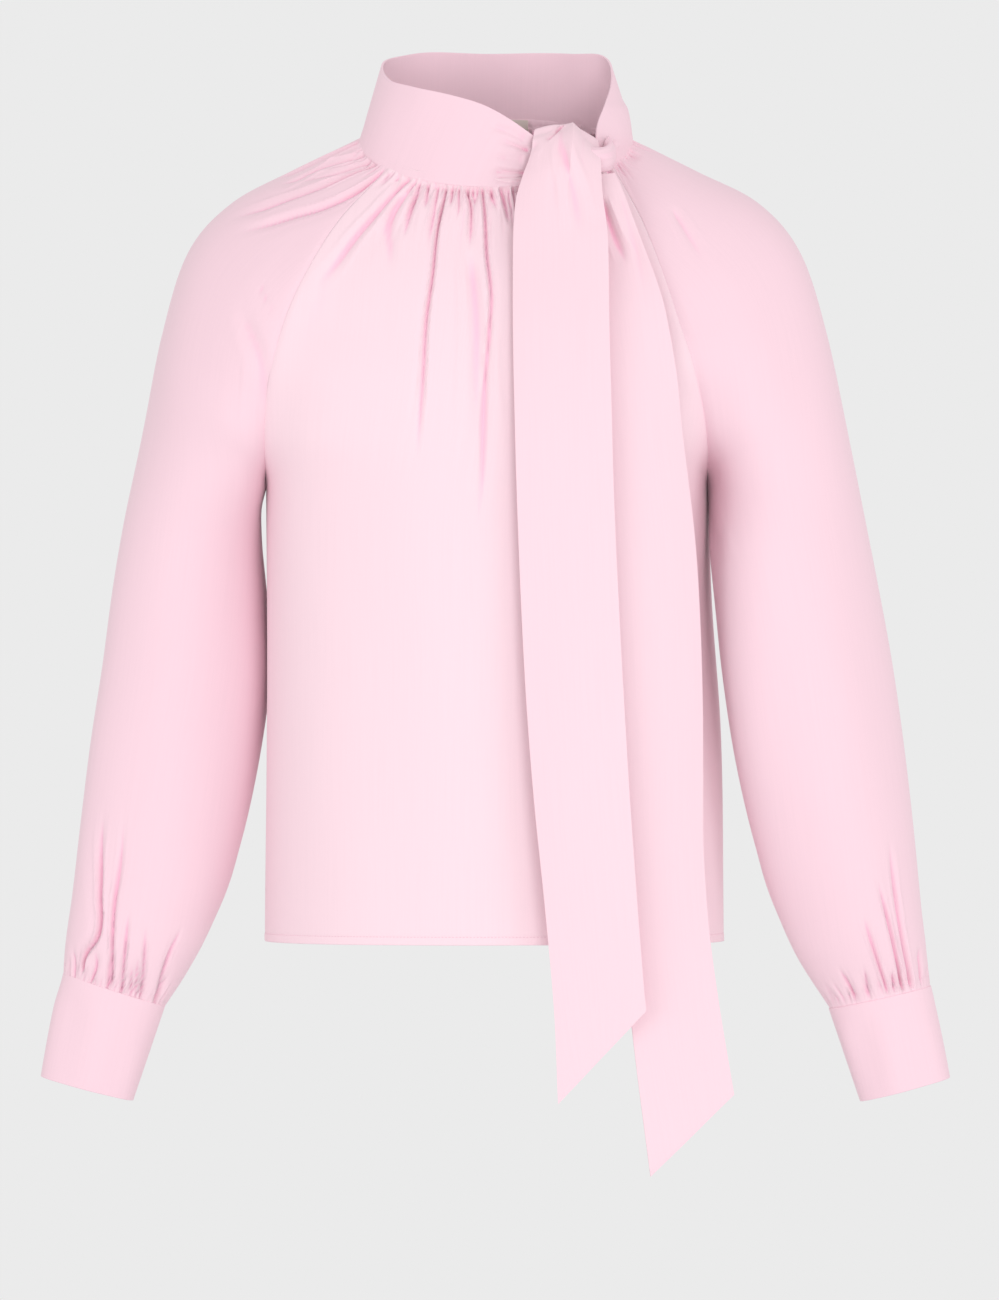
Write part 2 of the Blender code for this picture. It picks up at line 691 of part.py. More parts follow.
def make_crossing():
    """The bunched stretch of the strip that passes behind the front tail."""
    sections = dict(CROSSING, at=np.arange(len(CROSSING["x"]), dtype=float))
    places = np.linspace(0, len(CROSSING["x"]) - 1, CROSSING_ROWS)
    path = [read(sections, "x y z half_height half_depth", where) for where in places]
    along = unit(np.gradient(np.array(path)[:, :3], axis=0))
    mesh = bmesh.new()
    rings = []
    for section, way in zip(path, along):
        depth = unit(np.cross(way, (0, 0, 1)))
        ring = []
        for turn in np.linspace(0, 2 * math.pi, CROSSING_SIDES, endpoint=False):
            pleat = 1 + CROSSING_PLEAT * math.cos(CROSSING_PLEATS * turn)
            reach = np.array((0, 0, section[3] * math.sin(turn))) + depth * section[4] * math.cos(turn)
            ring.append(mesh.verts.new((section[:3] + reach * pleat) * MM))
        rings.append(ring)
    for upper, lower in zip(rings[:-1], rings[1:]):
        bridge(mesh, upper + upper[:1], lower + lower[:1])
    mesh.faces.new(rings[0])
    mesh.faces.new(rings[-1])
    bmesh.ops.triangulate(mesh, faces=[face for face in mesh.faces if len(face.verts) > 4])
    finish("tie_knot", mesh, POPLIN)


def make_label():
    """A bare woven label that hangs from the neckline seam inside the back."""
    first, last = LABEL_CENTRE - LABEL_HALF_WIDTH, LABEL_CENTRE + LABEL_HALF_WIDTH
    across = np.linspace(first, last, LABEL_COLUMNS + 1)

    def row_at(station, where):
        return body_row("back", station, where)

    sides = [outward_normals(row_at, station, across, -1) for station in LABEL_STATIONS]
    rows = [row_at(s, across) - side * LABEL_INSET for s, side in zip(LABEL_STATIONS, sides)]
    wall("neck_label", rows, inside(rows, sides, LABEL_WALL), LABEL_CLOTH)


for item in list(bpy.data.objects):
    bpy.data.objects.remove(item, do_unlink=True)
make_panels()
make_cuff("right", -1)
make_cuff("left", 1)
make_neckband()
make_tail("tie_tail_front", FRONT_TAIL, FRONT_TAIL_ROWS)
make_tail("tie_tail_back", BACK_TAIL, BACK_TAIL_ROWS)
make_crossing()
make_label()
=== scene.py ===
# %% [markdown]
# # Tie neck blouse in pale pink cotton poplin
#
# A long-sleeved blouse, filled out as if somebody wore it, with nobody in it. The front and the
# back are gathered into a standing neckband, the raglan sleeves are gathered into plain cuffs, and
# the neckband is the middle of one long strip whose two ends cross once and hang down the front.
#
# Every panel here is a thin sheet that lies on the form of its CAD solid. The form comes first,
# then the creases are pressed into it one by one where the photo shows them, then the cloth is
# given its thickness and its weave.

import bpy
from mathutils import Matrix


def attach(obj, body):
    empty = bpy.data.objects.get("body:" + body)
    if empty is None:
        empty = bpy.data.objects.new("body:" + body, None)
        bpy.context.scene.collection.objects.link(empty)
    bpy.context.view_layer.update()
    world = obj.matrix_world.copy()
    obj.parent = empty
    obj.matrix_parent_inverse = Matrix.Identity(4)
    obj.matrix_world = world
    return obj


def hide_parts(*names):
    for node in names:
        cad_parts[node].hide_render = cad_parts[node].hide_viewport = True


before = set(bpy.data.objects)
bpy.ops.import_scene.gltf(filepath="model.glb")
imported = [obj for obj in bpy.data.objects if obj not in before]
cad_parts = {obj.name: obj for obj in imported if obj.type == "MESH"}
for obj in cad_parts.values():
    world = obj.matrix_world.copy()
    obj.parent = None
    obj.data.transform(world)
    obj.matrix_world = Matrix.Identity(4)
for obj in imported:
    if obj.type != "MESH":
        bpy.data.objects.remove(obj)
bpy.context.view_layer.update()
print("nodes", sorted(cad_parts))

# %% [markdown]
# ## Units and small helpers
#
# Cloth is measured in millimetres, so all sizes here are in millimetres, and the one factor below
# turns them into Blender's metres. Chance is seeded, so each run gives the same cloth.

# %% Modules, units and seed
import math
from collections import namedtuple
from functools import partial

import bmesh
import bpy
import numpy as np
from mathutils import Matrix, Vector

MM = 0.001
SEED = 7
chance = np.random.default_rng(SEED)


def table(columns, *rows):
    """A table with named columns, one row for each section."""
    values = np.array(rows, float)
    return {name: values[:, i] for i, name in enumerate(columns.split())}


def unit(vectors):
    """The same directions with length 1."""
    return vectors / np.linalg.norm(vectors, axis=-1)[..., None]


def ramp(value, low, high):
    """0 below low and 1 above high, with a smooth rise between."""
    t = np.clip((value - low) / (high - low), 0, 1)
    return t * t * (3 - 2 * t)


def bell(distance, width):
    """1 at no distance, dying away to either side over the width."""
    return np.exp(-((distance / width) ** 2))


def lengths_along(points, axis=0):
    """How far each point lies from the first one, measured along one axis of a grid."""
    steps = np.linalg.norm(np.diff(points, axis=axis), axis=-1)
    return np.insert(np.cumsum(steps, axis=axis), 0, 0, axis=axis)


def cubic(values, slope, first, step, t):
    """The smooth curve from one value of a row to the next, at each share t of the step."""
    return (
        values[first] * (2 * t**3 - 3 * t**2 + 1)
        + values[first + 1] * (3 * t**2 - 2 * t**3)
        + slope[first] * step * (t**3 - 2 * t**2 + t)
        + slope[first + 1] * step * (t**3 - t**2)
    )


print("all sizes in millimetres, seed", SEED)

# %% [markdown]
# ## The form of the panels
#
# A panel is set by its rows. Each row is a pair of cubic arcs that meet in the middle, with a
# handle at each end that says which way the cloth leaves the seam. A station counts down the
# garment: 0 is the neckline seam, 1 is the underarm, and 2 is the hem or the cuff seam. These are
# the same tables as in the CAD part, so that the cloth lies on the solids.

# %% Middle of the front and of the back: depth, height and the reach of the handle
CENTRE = table(
    "at    front_y front_z front_reach back_y back_z back_reach",
    (0.00, -58, -40, 31, 57, 12, 27),
    (0.20, -74, -78, 45, 75, -27, 45),
    (0.40, -91, -115, 55, 89, -70, 55),
    (0.60, -103, -152, 65, 96, -118, 65),
    (0.80, -111, -200, 80, 100, -180, 80),
    (0.93, -114, -243, 95, 100, -236, 95),
    (1.00, -114, -266, 104, 99, -266, 104),
    (1.40, -112, -400, 106, 97, -400, 106),
    (2.00, -105, -602, 106, 98, -603, 106),
)


# %% Raglan seams: the point and the handles into the body panel and into the sleeve
SEAM_COLUMNS = "at x y z body_x body_y body_z sleeve_x sleeve_y sleeve_z"
FRONT_SEAM = {
    "right": table(
        SEAM_COLUMNS,
        (0.00, -79, -37, -26, 19, -14, -9, -14, 10, 7),
        (0.20, -113, -56, -63, 38, -13, -6, -22, 8, 12),
        (0.40, -137, -69, -103, 48, -16, -3, -28, 5, 14),
        (0.60, -155, -73, -143, 54, -22, 0, -34, -3, 11),
        (0.80, -167, -66, -195, 40, -38, 0, -36, -18, 5),
        (0.93, -171.5, -38, -241, 14, -54, 0, -18, -58, 2),
        (1.00, -172, 8, -264, 0, -76, 0, 0, -100, 0),
    ),
    "left": table(
        SEAM_COLUMNS,
        (0.00, 87, -31, -23, -17, -16, -9, 9, 10, 7),
        (0.20, 107, -55, -62, -36, -14, -6, 24, 8, 12),
        (0.40, 122, -70, -103, -42, -17, -3, 32, 4, 14),
        (0.60, 135, -76, -143, -46, -22, 0, 38, -5, 11),
        (0.80, 149, -72, -190, -36, -34, 0, 38, -22, 5),
        (0.93, 158, -44, -240, -13, -50, 0, 18, -64, 2),
        (1.00, 160, 4, -264, 0, -73, 0, 0, -116, 0),
    ),
}
BACK_SEAM = {
    "right": table(
        SEAM_COLUMNS,
        (0.00, -72, 41, 7, 18, 11, 3, -18, -10, -3),
        (0.20, -105, 60, -30, 38, 12, 2, -26, -6, 10),
        (0.40, -133, 72, -75, 46, 14, 0, -32, -2, 14),
        (0.60, -153, 76, -120, 52, 18, 0, -36, 4, 11),
        (0.80, -167, 70, -180, 40, 30, 0, -38, 18, 6),
        (0.93, -172, 46, -234, 14, 44, 0, -20, 44, 2),
        (1.00, -172, 8, -264, 0, 62, 0, 0, 86, 0),
    ),
    "left": table(
        SEAM_COLUMNS,
        (0.00, 72, 41, 7, -18, 11, 3, 18, -10, -3),
        (0.20, 105, 60, -30, -38, 12, 2, 26, -6, 10),
        (0.40, 133, 72, -75, -46, 14, 0, 32, -2, 14),
        (0.60, 151, 76, -120, -52, 18, 0, 36, 4, 11),
        (0.80, 162, 70, -180, -38, 30, 0, 38, 16, 6),
        (0.93, 163, 44, -234, -14, 44, 0, 20, 44, 2),
        (1.00, 160, 4, -264, 0, 66, 0, 0, 80, 0),
    ),
}


# %% Side seams from the underarm to the hem
SIDE_SEAM = {
    "right": table(
        "at x y z front_y back_y",
        (1.00, -172, 8, -264, -76, 62),
        (1.40, -171, 8, -400, -75, 62),
        (2.00, -172, 8, -603, -72, 62),
    ),
    "left": table(
        "at x y z front_y back_y",
        (1.00, 160, 4, -264, -73, 66),
        (1.25, 163, 5, -350, -73, 64),
        (1.50, 169, 7, -434, -73, 63),
        (2.00, 171, 8, -603, -72, 62),
    ),
}

# %% The sleeve's outer line as seen from the front
OUTER = {
    "right": table(
        "at x y z front_y front_z back_y back_z",
        (0.00, -101, 2, -1, -13, -8, 14, 3),
        (0.20, -152, 5, -25, -30, -8, 30, 2),
        (0.40, -198, 7, -50, -40, -8, 40, 0),
        (0.60, -230, 9, -87, -46, -6, 46, 0),
        (0.80, -249, 12, -150, -54, -3, 54, 0),
        (1.00, -263, 15, -228, -70, 0, 76, 0),
        (1.15, -275, 17, -284, -70, 0, 73, 0),
        (1.30, -285, 20, -338, -69, 0, 69, 0),
        (1.45, -294, 22, -396, -65, 0, 65, 0),
        (1.60, -304, 21, -455, -63, 0, 63, 0),
        (1.75, -312, 16, -518, -60, 0, 60, 0),
        (1.88, -318, 10, -572, -56, 0, 56, 0),
        (1.95, -322, 7, -603, -48, 0, 48, 0),
        (2.00, -324, 5, -629, -34, 0, 34, 0),
    ),
    "left": table(
        "at x y z front_y front_z back_y back_z",
        (0.00, 101, 2, -1, -13, -8, 14, 3),
        (0.20, 152, 3, -26, -30, -8, 30, 2),
        (0.40, 198, 2, -50, -40, -8, 40, 0),
        (0.60, 229, 0, -87, -48, -6, 46, 0),
        (0.80, 249, -4, -150, -56, -3, 54, 0),
        (1.00, 266, -10, -232, -70, 0, 76, 0),
        (1.15, 276, -15, -286, -70, 0, 74, 0),
        (1.30, 286, -19, -340, -67, 0, 67, 0),
        (1.45, 296, -20, -396, -65, 0, 65, 0),
        (1.60, 305, -18, -457, -63, 0, 63, 0),
        (1.75, 313, -14, -520, -60, 0, 60, 0),
        (1.88, 319, -9, -574, -56, 0, 56, 0),
        (1.95, 323, -6, -606, -48, 0, 48, 0),
        (2.00, 326, -5, -635, -34, 0, 34, 0),
    ),
}

# %% The sleeve's inner line, and the lower ring of each cuff
INNER = {
    "right": table(
        "at x y z front_y back_y",
        (1.00, -172, 8, -264, -100, 86),
        (1.08, -176, 18, -280, -94, 76),
        (1.15, -176, 29, -300, -90, 68),
        (1.30, -172, 42, -350, -88, 58),
        (1.45, -170, 43, -404, -84, 55),
        (1.60, -178, 36, -466, -75, 54),
        (1.75, -192, 26, -530, -66, 54),
        (1.88, -208, 15, -580, -58, 52),
        (1.95, -226, 9, -618, -48, 46),
        (2.00, -248.5, 5, -653.5, -34, 34),
    ),
    "left": table(
        "at x y z front_y back_y",
        (1.00, 160, 4, -264, -116, 80),
        (1.08, 160, -16, -286, -98, 84),
        (1.15, 160, -32, -308, -84, 86),
        (1.30, 164, -48, -356, -68, 86),
        (1.45, 170, -52, -408, -60, 84),
        (1.60, 180, -47, -468, -56, 78),
        (1.75, 195, -33, -530, -53, 70),
        (1.88, 211, -20, -580, -50, 60),
        (1.95, 229, -11, -619, -46, 50),
        (2.00, 250, -5, -652, -34, 34),
    ),
}

# Lower ring of each cuff: its outer and inner ends, and its reach to the front and to the back
CUFF_END = {
    "right": {"outer": (-340.5, 5, -705), "inner": (-272, 5, -723), "reach": 31},
    "left": {"outer": (341, -5, -705), "inner": (274, -5, -723), "reach": 31},
}

# %% Top edge of the neckband by its turn round the neck, 0 in front and 90 at the wearer's right
BAND_TOP = table(
    "turn   x    y    z  roll",
    (-42, 41, -51, -12.5, 1),
    (-24, 24, -54, 0, 1),
    (-10, 10, -55, 9.5, 1),
    (4, -4, -54, 17.5, 1),
    (32, -32, -50, 27, 1),
    (57, -60, -39, 34, 1),
    (76, -79, -20, 41, 1),
    (89, -85, -2, 49.5, 1),
    (104, -83, 20, 58.5, 1),
    (123, -64, 41, 65.5, 1),
    (173, -6, 49, 66.5, 1),
    (233, 58, 43, 66, 1),
    (252, 82, 26, 63, 1),
    (266, 88, 6, 51, 2),
    (276, 87, -10, 36, 4.5),
    (285, 82, -25, 22, 5.5),
    (294, 76, -40, 4, 4.5),
    (302, 76.5, -50, -14, 2),
)
BAND_START = -42
BAND_END = 302

# %% The two tie tails and the crossing between them
TAIL_COLUMNS = "left_x left_y left_z right_x right_y right_z up out"
FRONT_TAIL = table(
    TAIL_COLUMNS,
    (33, -44, -12, 68, -33, -16, 0, 0),
    (31, -47, -1, 72, -38, -6, 4, 0),
    (29, -55, 5, 77, -50, -1.5, 7, 0),
    (28, -62, 3, 78, -62, -5, 8, 2),
    (26, -68, -7, 78.5, -71, -13, 6, 4),
    (21, -73, -24, 79, -78, -28, 0, 5),
    (16, -77, -44, 80, -84, -46, 0, 4),
    (14, -83, -66, 82, -90, -66, 0, 3),
    (13.3, -90, -90, 83.5, -99, -90, 0, 2),
    (13.3, -110, -150, 84, -118, -150, 0, 2),
    (14.5, -121, -212, 85.5, -129, -212, 0, 2),
    (16.2, -125, -275, 87.2, -131, -275, 0, 1),
    (19, -125, -348, 90.5, -129, -348, 0, 1),
    (22.8, -125, -421, 94.5, -127, -421, 0, 2),
    (28.5, -124, -495, 99, -124, -495, 0, 3),
    (36, -122, -568, 104, -121, -566, 0, 3),
    (43.3, -118, -648, 108.5, -118, -624, 0, 2),
    (46.3, -116, -717.8, 111, -116, -649.5, 0, 1),
)

# Back tail from the crossing down
BACK_TAIL = table(
    TAIL_COLUMNS,
    (66, -66, -33.6, 89, -61, -31.6, 0, 1),
    (67, -72, -46, 95, -67, -45, 0, 2),
    (68, -79, -64, 102, -75, -65, 0, 1),
    (67, -87, -87, 110, -82, -87, 0, -2),
    (65, -97, -112, 119, -90, -112, 0, -3),
    (66, -106, -137, 126, -94, -137, 0, -2),
    (69, -116, -183, 134, -96, -183, 0, 1),
    (73, -119, -224, 138, -96, -224, 0, 3),
    (81, -119, -300, 147, -93, -300, 0, 3),
    (85.5, -117, -359, 151, -90, -359, 0, 3),
    (88, -115, -421, 153, -88, -421, 0, 3),
    (88.5, -112, -478, 153.5, -86, -476, 0, 3),
    (90, -109, -535, 154, -85, -532, 0, 3),
    (94, -106, -600, 158, -84, -590, 0, 2),
    (103, -104, -682, 165.6, -84, -647, 0, 1),
    (114.6, -102, -772, 176.6, -84, -713, 0, 0),
)

# The crossing behind the front tail: its middle line with half height and half depth
CROSSING = table(
    "x y z half_height half_depth",
    (84, -43, -12, 8, 3.0),
    (86, -49.5, -17, 9, 3.2),
    (83, -57, -20.5, 8.5, 3.4),
    (76, -61.5, -22, 8.5, 3.8),
    (66, -62.5, -22, 9, 4.6),
    (54, -61.5, -22, 8, 3.6),
)

# %% Reading a table, and the rows of each panel
def read(values, names, where):
    """The named columns of a table at a station, on a smooth curve through its rows."""
    at = values["at"] if "at" in values else values["turn"]
    points = np.stack([values[name] for name in names.split()], axis=-1)
    slope = np.gradient(points, at, axis=0)
    first = int(np.clip(np.searchsorted(at, where, side="right") - 1, 0, len(at) - 2))
    step = at[first + 1] - at[first]
    return cubic(points, slope, first, step, (where - at[first]) / step)


def arc(start, start_handle, end_handle, end, t):
    """Points of a cubic arc at each share t of its way."""
    t = t[:, None]
    return (
        start * (1 - t) ** 3
        + (start + start_handle) * 3 * t * (1 - t) ** 2
        + (end + end_handle) * 3 * t**2 * (1 - t)
        + end * t**3
    )


def two_arcs(ends, end_handles, middle, middle_handles, across):
    """A row of a panel: across runs from -1 at the first end through 0 in the middle to 1."""
    first = arc(middle, middle_handles[0], end_handles[0], ends[0], np.clip(-across, 0, 1))
    second = arc(middle, middle_handles[1], end_handles[1], ends[1], np.clip(across, 0, 1))
    return np.where(across[:, None] < 0, first, second)


def body_edge(face, side, station):
    """A body panel's edge point and the handle into the panel."""
    if station <= 1:
        seam = (FRONT_SEAM if face == "front" else BACK_SEAM)[side]
        return read(seam, "x y z", station), read(seam, "body_x body_y body_z", station)
    handle = read(SIDE_SEAM[side], face + "_y", station)
    return read(SIDE_SEAM[side], "x y z", station), np.array((0, handle[0], 0))


def body_row(face, station, across):
    """A row of the front or the back, from the wearer's right to the left."""
    y, z, reach = read(CENTRE, f"{face}_y {face}_z {face}_reach", station)
    right, right_handle = body_edge(face, "right", station)
    left, left_handle = body_edge(face, "left", station)
    handles = (np.array((-reach, 0, 0)), np.array((reach, 0, 0)))
    middle = np.array((0, y, z))
    return two_arcs((right, left), (right_handle, left_handle), middle, handles, across)


def sleeve_row(side, station, across):
    """A row of a sleeve, from its front seam over the outer line to its back seam."""
    outer = read(OUTER[side], "x y z", station)
    front_reach = read(OUTER[side], "front_y front_z", station)
    back_reach = read(OUTER[side], "back_y back_z", station)
    if station <= 1:
        front = read(FRONT_SEAM[side], "x y z", station)
        back = read(BACK_SEAM[side], "x y z", station)
        front_handle = read(FRONT_SEAM[side], "sleeve_x sleeve_y sleeve_z", station)
        back_handle = read(BACK_SEAM[side], "sleeve_x sleeve_y sleeve_z", station)
    else:
        front = back = read(INNER[side], "x y z", station)
        reach = read(INNER[side], "front_y back_y", station)
        front_handle = np.array((0, reach[0], 0))
        back_handle = np.array((0, reach[1], 0))
    handles = (np.array((0, *front_reach)), np.array((0, *back_reach)))
    return two_arcs((front, back), (front_handle, back_handle), outer, handles, across)


print("hem", round(float(np.ptp(body_row("front", 2, np.linspace(-1, 1, 9))[:, 0]))), "mm wide")

# %% [markdown]
# ## A cloth sheet as a grid of points
#
# A sheet keeps, for each of its points, the place on the form, the direction that points out of
# the garment, and two lengths measured on the cloth: how far across it lies from the middle of its
# row, and how far down from the top edge. Creases are set where they are seen in the photo, so
# each point also knows where the camera sees it.

# %% The camera, and where it sees a point
CAMERA = np.array((3.4, -5000.0, -385.0))
Sheet = namedtuple("Sheet", "points normals across over down seen facing")


def seen_by_camera(points):
    """Where the camera sees each point in the upright plane through the neck, as x and z."""
    scale = CAMERA[1] / (CAMERA[1] - points[..., 1])
    return CAMERA[[0, 2]] + (points[..., [0, 2]] - CAMERA[[0, 2]]) * scale[..., None]


def sheet_of(points, across, sign):
    """A sheet from a grid of points, row by row from the top."""
    normals = unit(np.cross(np.gradient(points, axis=0), np.gradient(points, axis=1))) * sign
    over = lengths_along(points, axis=1)
    over -= over[:, [len(across) // 2]]
    facing = np.sum(normals * unit(CAMERA - points), axis=2)
    down = lengths_along(points)
    return Sheet(points, normals, across, over, down, seen_by_camera(points), facing)


def lifted(sheet, lift):
    """The sheet's points, each moved out from the form by its lift."""
    return sheet.points + sheet.normals * lift[..., None]


def stations(*stretches):
    """Stations in stretches, each with its own number of rows: (end, rows), from station 0."""
    places = [0.0]
    for end, rows in stretches:
        places += list(np.linspace(places[-1], end, rows + 1)[1:])
    return places


print("camera", round(-CAMERA[1] * MM, 2), "m in front of the neck")

# %% [markdown]
# ## Pressing a crease into the cloth
#
# A gather in thin poplin is a sharp little valley at the seam that opens out and dies away down
# the cloth, with a soft ridge on each side. One crease is a line of places as the camera sees
# them, a depth, a half width and how sharp its bottom is. It could be left to a cloth simulation,
# but the valleys of a real gathered seam are each in their own place, so each one is listed.

# %% The line of a crease, and the distance of every point from it
Crease = namedtuple("Crease", "depth width sharp fade_in fade_from line")
LINE_STEP = 3.0


def smooth_line(places):
    """A smooth curve through a few places, as many short steps."""
    places = np.array(places, float)
    if len(places) == 2:
        places = np.array((places[0], places.mean(axis=0), places[1]))
    lengths = lengths_along(places)
    slope = np.gradient(places, lengths, axis=0)
    curve = []
    for i in range(len(places) - 1):
        step = lengths[i + 1] - lengths[i]
        t = np.linspace(0, 1, max(2, int(step / LINE_STEP)), endpoint=False)[:, None]
        curve.append(cubic(places, slope, i, step, t))
    return np.concatenate(curve + [places[-1:]])


def from_line(places, line):
    """Distance of each place from a line, signed by its side, and the share of the line's length
    at the nearest point."""
    steps = np.diff(line, axis=0)
    lengths = np.linalg.norm(steps, axis=1)
    before = lengths_along(line)
    best = np.full(places.shape[0], np.inf)
    share = np.zeros(places.shape[0])
    for i, step in enumerate(steps):
        off = places - line[i]
        t = np.clip(off @ step / lengths[i] ** 2, 0, 1)
        side = np.where(off[:, 0] * step[1] - off[:, 1] * step[0] < 0, -1.0, 1.0)
        distance = np.linalg.norm(off - t[:, None] * step, axis=1)
        nearer = distance < np.abs(best)
        best[nearer] = (distance * side)[nearer]
        share[nearer] = (before[i] + t[nearer] * lengths[i]) / before[-1]
    return best, share


# %% [markdown]
# Real cloth doesn't fold to a plain groove. The valley is narrow at the bottom, its two sides
# round over into low ridges, and a broad soft skirt leads up to them, wider on one side. At the
# seam the valley is narrow and deep, and away from it it opens out and grows shallow.

# %% The trough along a line, and all the troughs of a panel
RIDGE_SHARE = 0.35
SKIRT_SHARE = 0.45
SKIRT_REACH = 3.2
LEAN = 0.5
WIDTH_AT_SEAM = 0.7
WIDTH_GAINED = 0.7
WEAKER = 0.45
FACING_FULLY = 0.2
NEAR_WIDTHS = 5
ENDS_AT_SEAM = 0.95


def profile(distance, width, sharp, lean):
    """How deep a valley is at a signed distance from its line: 1 at the bottom. A sharp one is a
    narrow V in a broad soft trough that is wider on one side, a soft one is a plain trough."""
    reach = np.abs(distance) / width
    skirt = np.abs(distance) / (width * SKIRT_REACH * (1 + lean * np.sign(distance)))
    narrow = np.clip(1 - reach, 0, 1) ** 2
    valley = (1 - SKIRT_SHARE) * narrow + SKIRT_SHARE * (1 - ramp(skirt, 0, 1))
    ridge = RIDGE_SHARE * np.sin(np.pi * np.clip(reach - 1, 0, 1)) ** 2
    return sharp * valley + (1 - sharp) * (1 - ramp(reach, 0, 1)) - (1 - SKIRT_SHARE) * ridge


def creases(*rows):
    """Creases from rows of depth, half width, sharpness, the shares of the line where it has risen
    and where it starts to die, and the places of its line as the camera sees them."""
    made = [Crease(*row[:5], smooth_line(row[5:])) for row in rows]
    print(len(made), "creases")
    return made


def pressed(sheet, items):
    """How far the creases lift each point. Negative is into the garment."""
    lift = np.zeros(sheet.over.shape)
    toward = ramp(sheet.facing, 0.0, FACING_FULLY)
    for index, item in enumerate(items):
        lean = LEAN * math.sin(2.7 * index + 1)
        low = item.line.min(axis=0) - NEAR_WIDTHS * item.width
        high = item.line.max(axis=0) + NEAR_WIDTHS * item.width
        near = np.all((sheet.seen > low) & (sheet.seen < high), axis=2) & (toward > 0)
        if not near.any():
            continue
        distance, share = from_line(sheet.seen[near], item.line)
        from_seam = 1 - share if item.fade_from >= ENDS_AT_SEAM else share
        width = item.width * (WIDTH_AT_SEAM + WIDTH_GAINED * from_seam)
        strength = 1 - WEAKER * from_seam
        if item.fade_from < 1:
            strength = strength * (1 - ramp(share, item.fade_from, 1))
        if item.fade_in > 0:
            strength = strength * ramp(share, 0, item.fade_in)
        depth = item.depth * strength * toward[near]
        lift[near] -= depth * profile(distance, width, item.sharp, lean)
    return lift


# %% [markdown]
# ## Gathers strewn by chance
#
# The back of the blouse and the far sides of the sleeves don't show in the photo. Their gathers are
# strewn along the seam by seeded chance, uneven in place, depth and length, as the ones in the
# photo are. Smaller ones are strewn between the creases of the front and of the near sides.

# %% Gathers along a seam, and the soft swells of hanging cloth
GATHER_WIDTH = (0.26, 0.42)
GATHER_SPACING = (0.65, 1.45)
GATHER_SLANT = 0.06
GATHER_SHARP = 0.85
SWELL_ACROSS = (0.7, 1.5)
SWELL_DOWN = (0.7, 1.6)
SWELLS = 4


def gathers(sheet, span, pitch, depth, length, from_end=False):
    """Valleys that start at the top seam, or at the end seam, as far as a share of the width to
    either side of the middle. Depth and length are the least and the most."""
    half = (sheet.over[:, -1] - sheet.over[:, 0])[:, None] / 2
    down = sheet.down[-1] - sheet.down if from_end else sheet.down
    edge = half[-1, 0] if from_end else half[0, 0]
    lift = np.zeros(sheet.over.shape)
    place = -span + chance.uniform(0, 1) * pitch / edge
    while place < span:
        reach = chance.uniform(*length)
        deep = chance.uniform(*depth)
        wide = pitch * chance.uniform(*GATHER_WIDTH)
        slant = chance.uniform(-GATHER_SLANT, GATHER_SLANT)
        along = down / reach
        width = wide * (0.75 + 0.9 * np.clip(along, 0, 1))
        distance = (sheet.across[None, :] - (place + slant * along)) * half
        lean = chance.uniform(-LEAN, LEAN)
        lift -= deep * profile(distance, width, GATHER_SHARP, lean) * (1 - ramp(along, 0.1, 1))
        place += pitch * chance.uniform(*GATHER_SPACING) / edge
    return lift


def swells(sheet, height, across, down):
    """Broad soft swells of hanging cloth, of about these lengths across and down the panel."""
    lift = np.zeros(sheet.over.shape)
    for _ in range(SWELLS):
        turn = chance.uniform(0, 2 * math.pi)
        wide = across * chance.uniform(*SWELL_ACROSS)
        long = down * chance.uniform(*SWELL_DOWN) * chance.choice((-1, 1))
        lift += np.sin(2 * math.pi * (sheet.over / wide + sheet.down / long) + turn)
    return lift * height / SWELLS


# %% [markdown]
# ## From a grid to a piece of cloth
#
# Blender's own grid operator makes the sheet, its points are moved onto the form, and the Solidify
# modifier gives the cloth its thickness inward. The cloth's own lengths become the UV map, in
# millimetres, so that the weave can be drawn at its real size.
#
# Down in a gather the pink looks deeper, because the light there has passed through thin dyed
# cloth and gone from one wall of the valley to the other. This is painted shade: each point keeps
# how far it lies below the cloth beside it, and the poplin's material paints a deeper pink there.

# %% How deep each point lies in a crease
# The crease depth that the poplin's material turns into painted shade.
HOLLOW_NAME = "hollow"
HOLLOW_STEPS = 12
HOLLOW_FROM = 0.10
HOLLOW_FULL = 1.00


def surroundings(points):
    """The same grid of points, each at the mean of the cloth beside it, across the gathers."""
    for _ in range(HOLLOW_STEPS):
        wide = np.pad(points, ((0, 0), (1, 1), (0, 0)), mode="reflect", reflect_type="odd")
        points = (wide[:, :-2] + wide[:, 2:]) / 2
    return points


def mark_hollows(mesh, layer, verts, order, points):
    """Writes into the layer how far each point lies in a hollow, from 0 to 1."""
    mesh.normal_update()
    beside = surroundings(points).reshape(-1, 3)
    for place, mean, index in zip(points.reshape(-1, 3), beside, order):
        sunk = Vector(mean - place).dot(verts[index].normal)
        verts[index][layer] = min(max((sunk - HOLLOW_FROM) / (HOLLOW_FULL - HOLLOW_FROM), 0), 1)


# %% Making the piece
CLOTH = 0.5
UV_NAME = "cloth_mm"
WELD = 0.05
BEVEL_SEGMENTS = 3
BEVEL_FROM_ANGLE = 60


def object_of(name, mesh):
    """The bmesh as a smoothly shaded object in the scene."""
    for face in mesh.faces:
        face.smooth = True
    data = bpy.data.meshes.new(name)
    mesh.to_mesh(data)
    mesh.free()
    piece = bpy.data.objects.new(name, data)
    bpy.context.collection.objects.link(piece)
    return piece


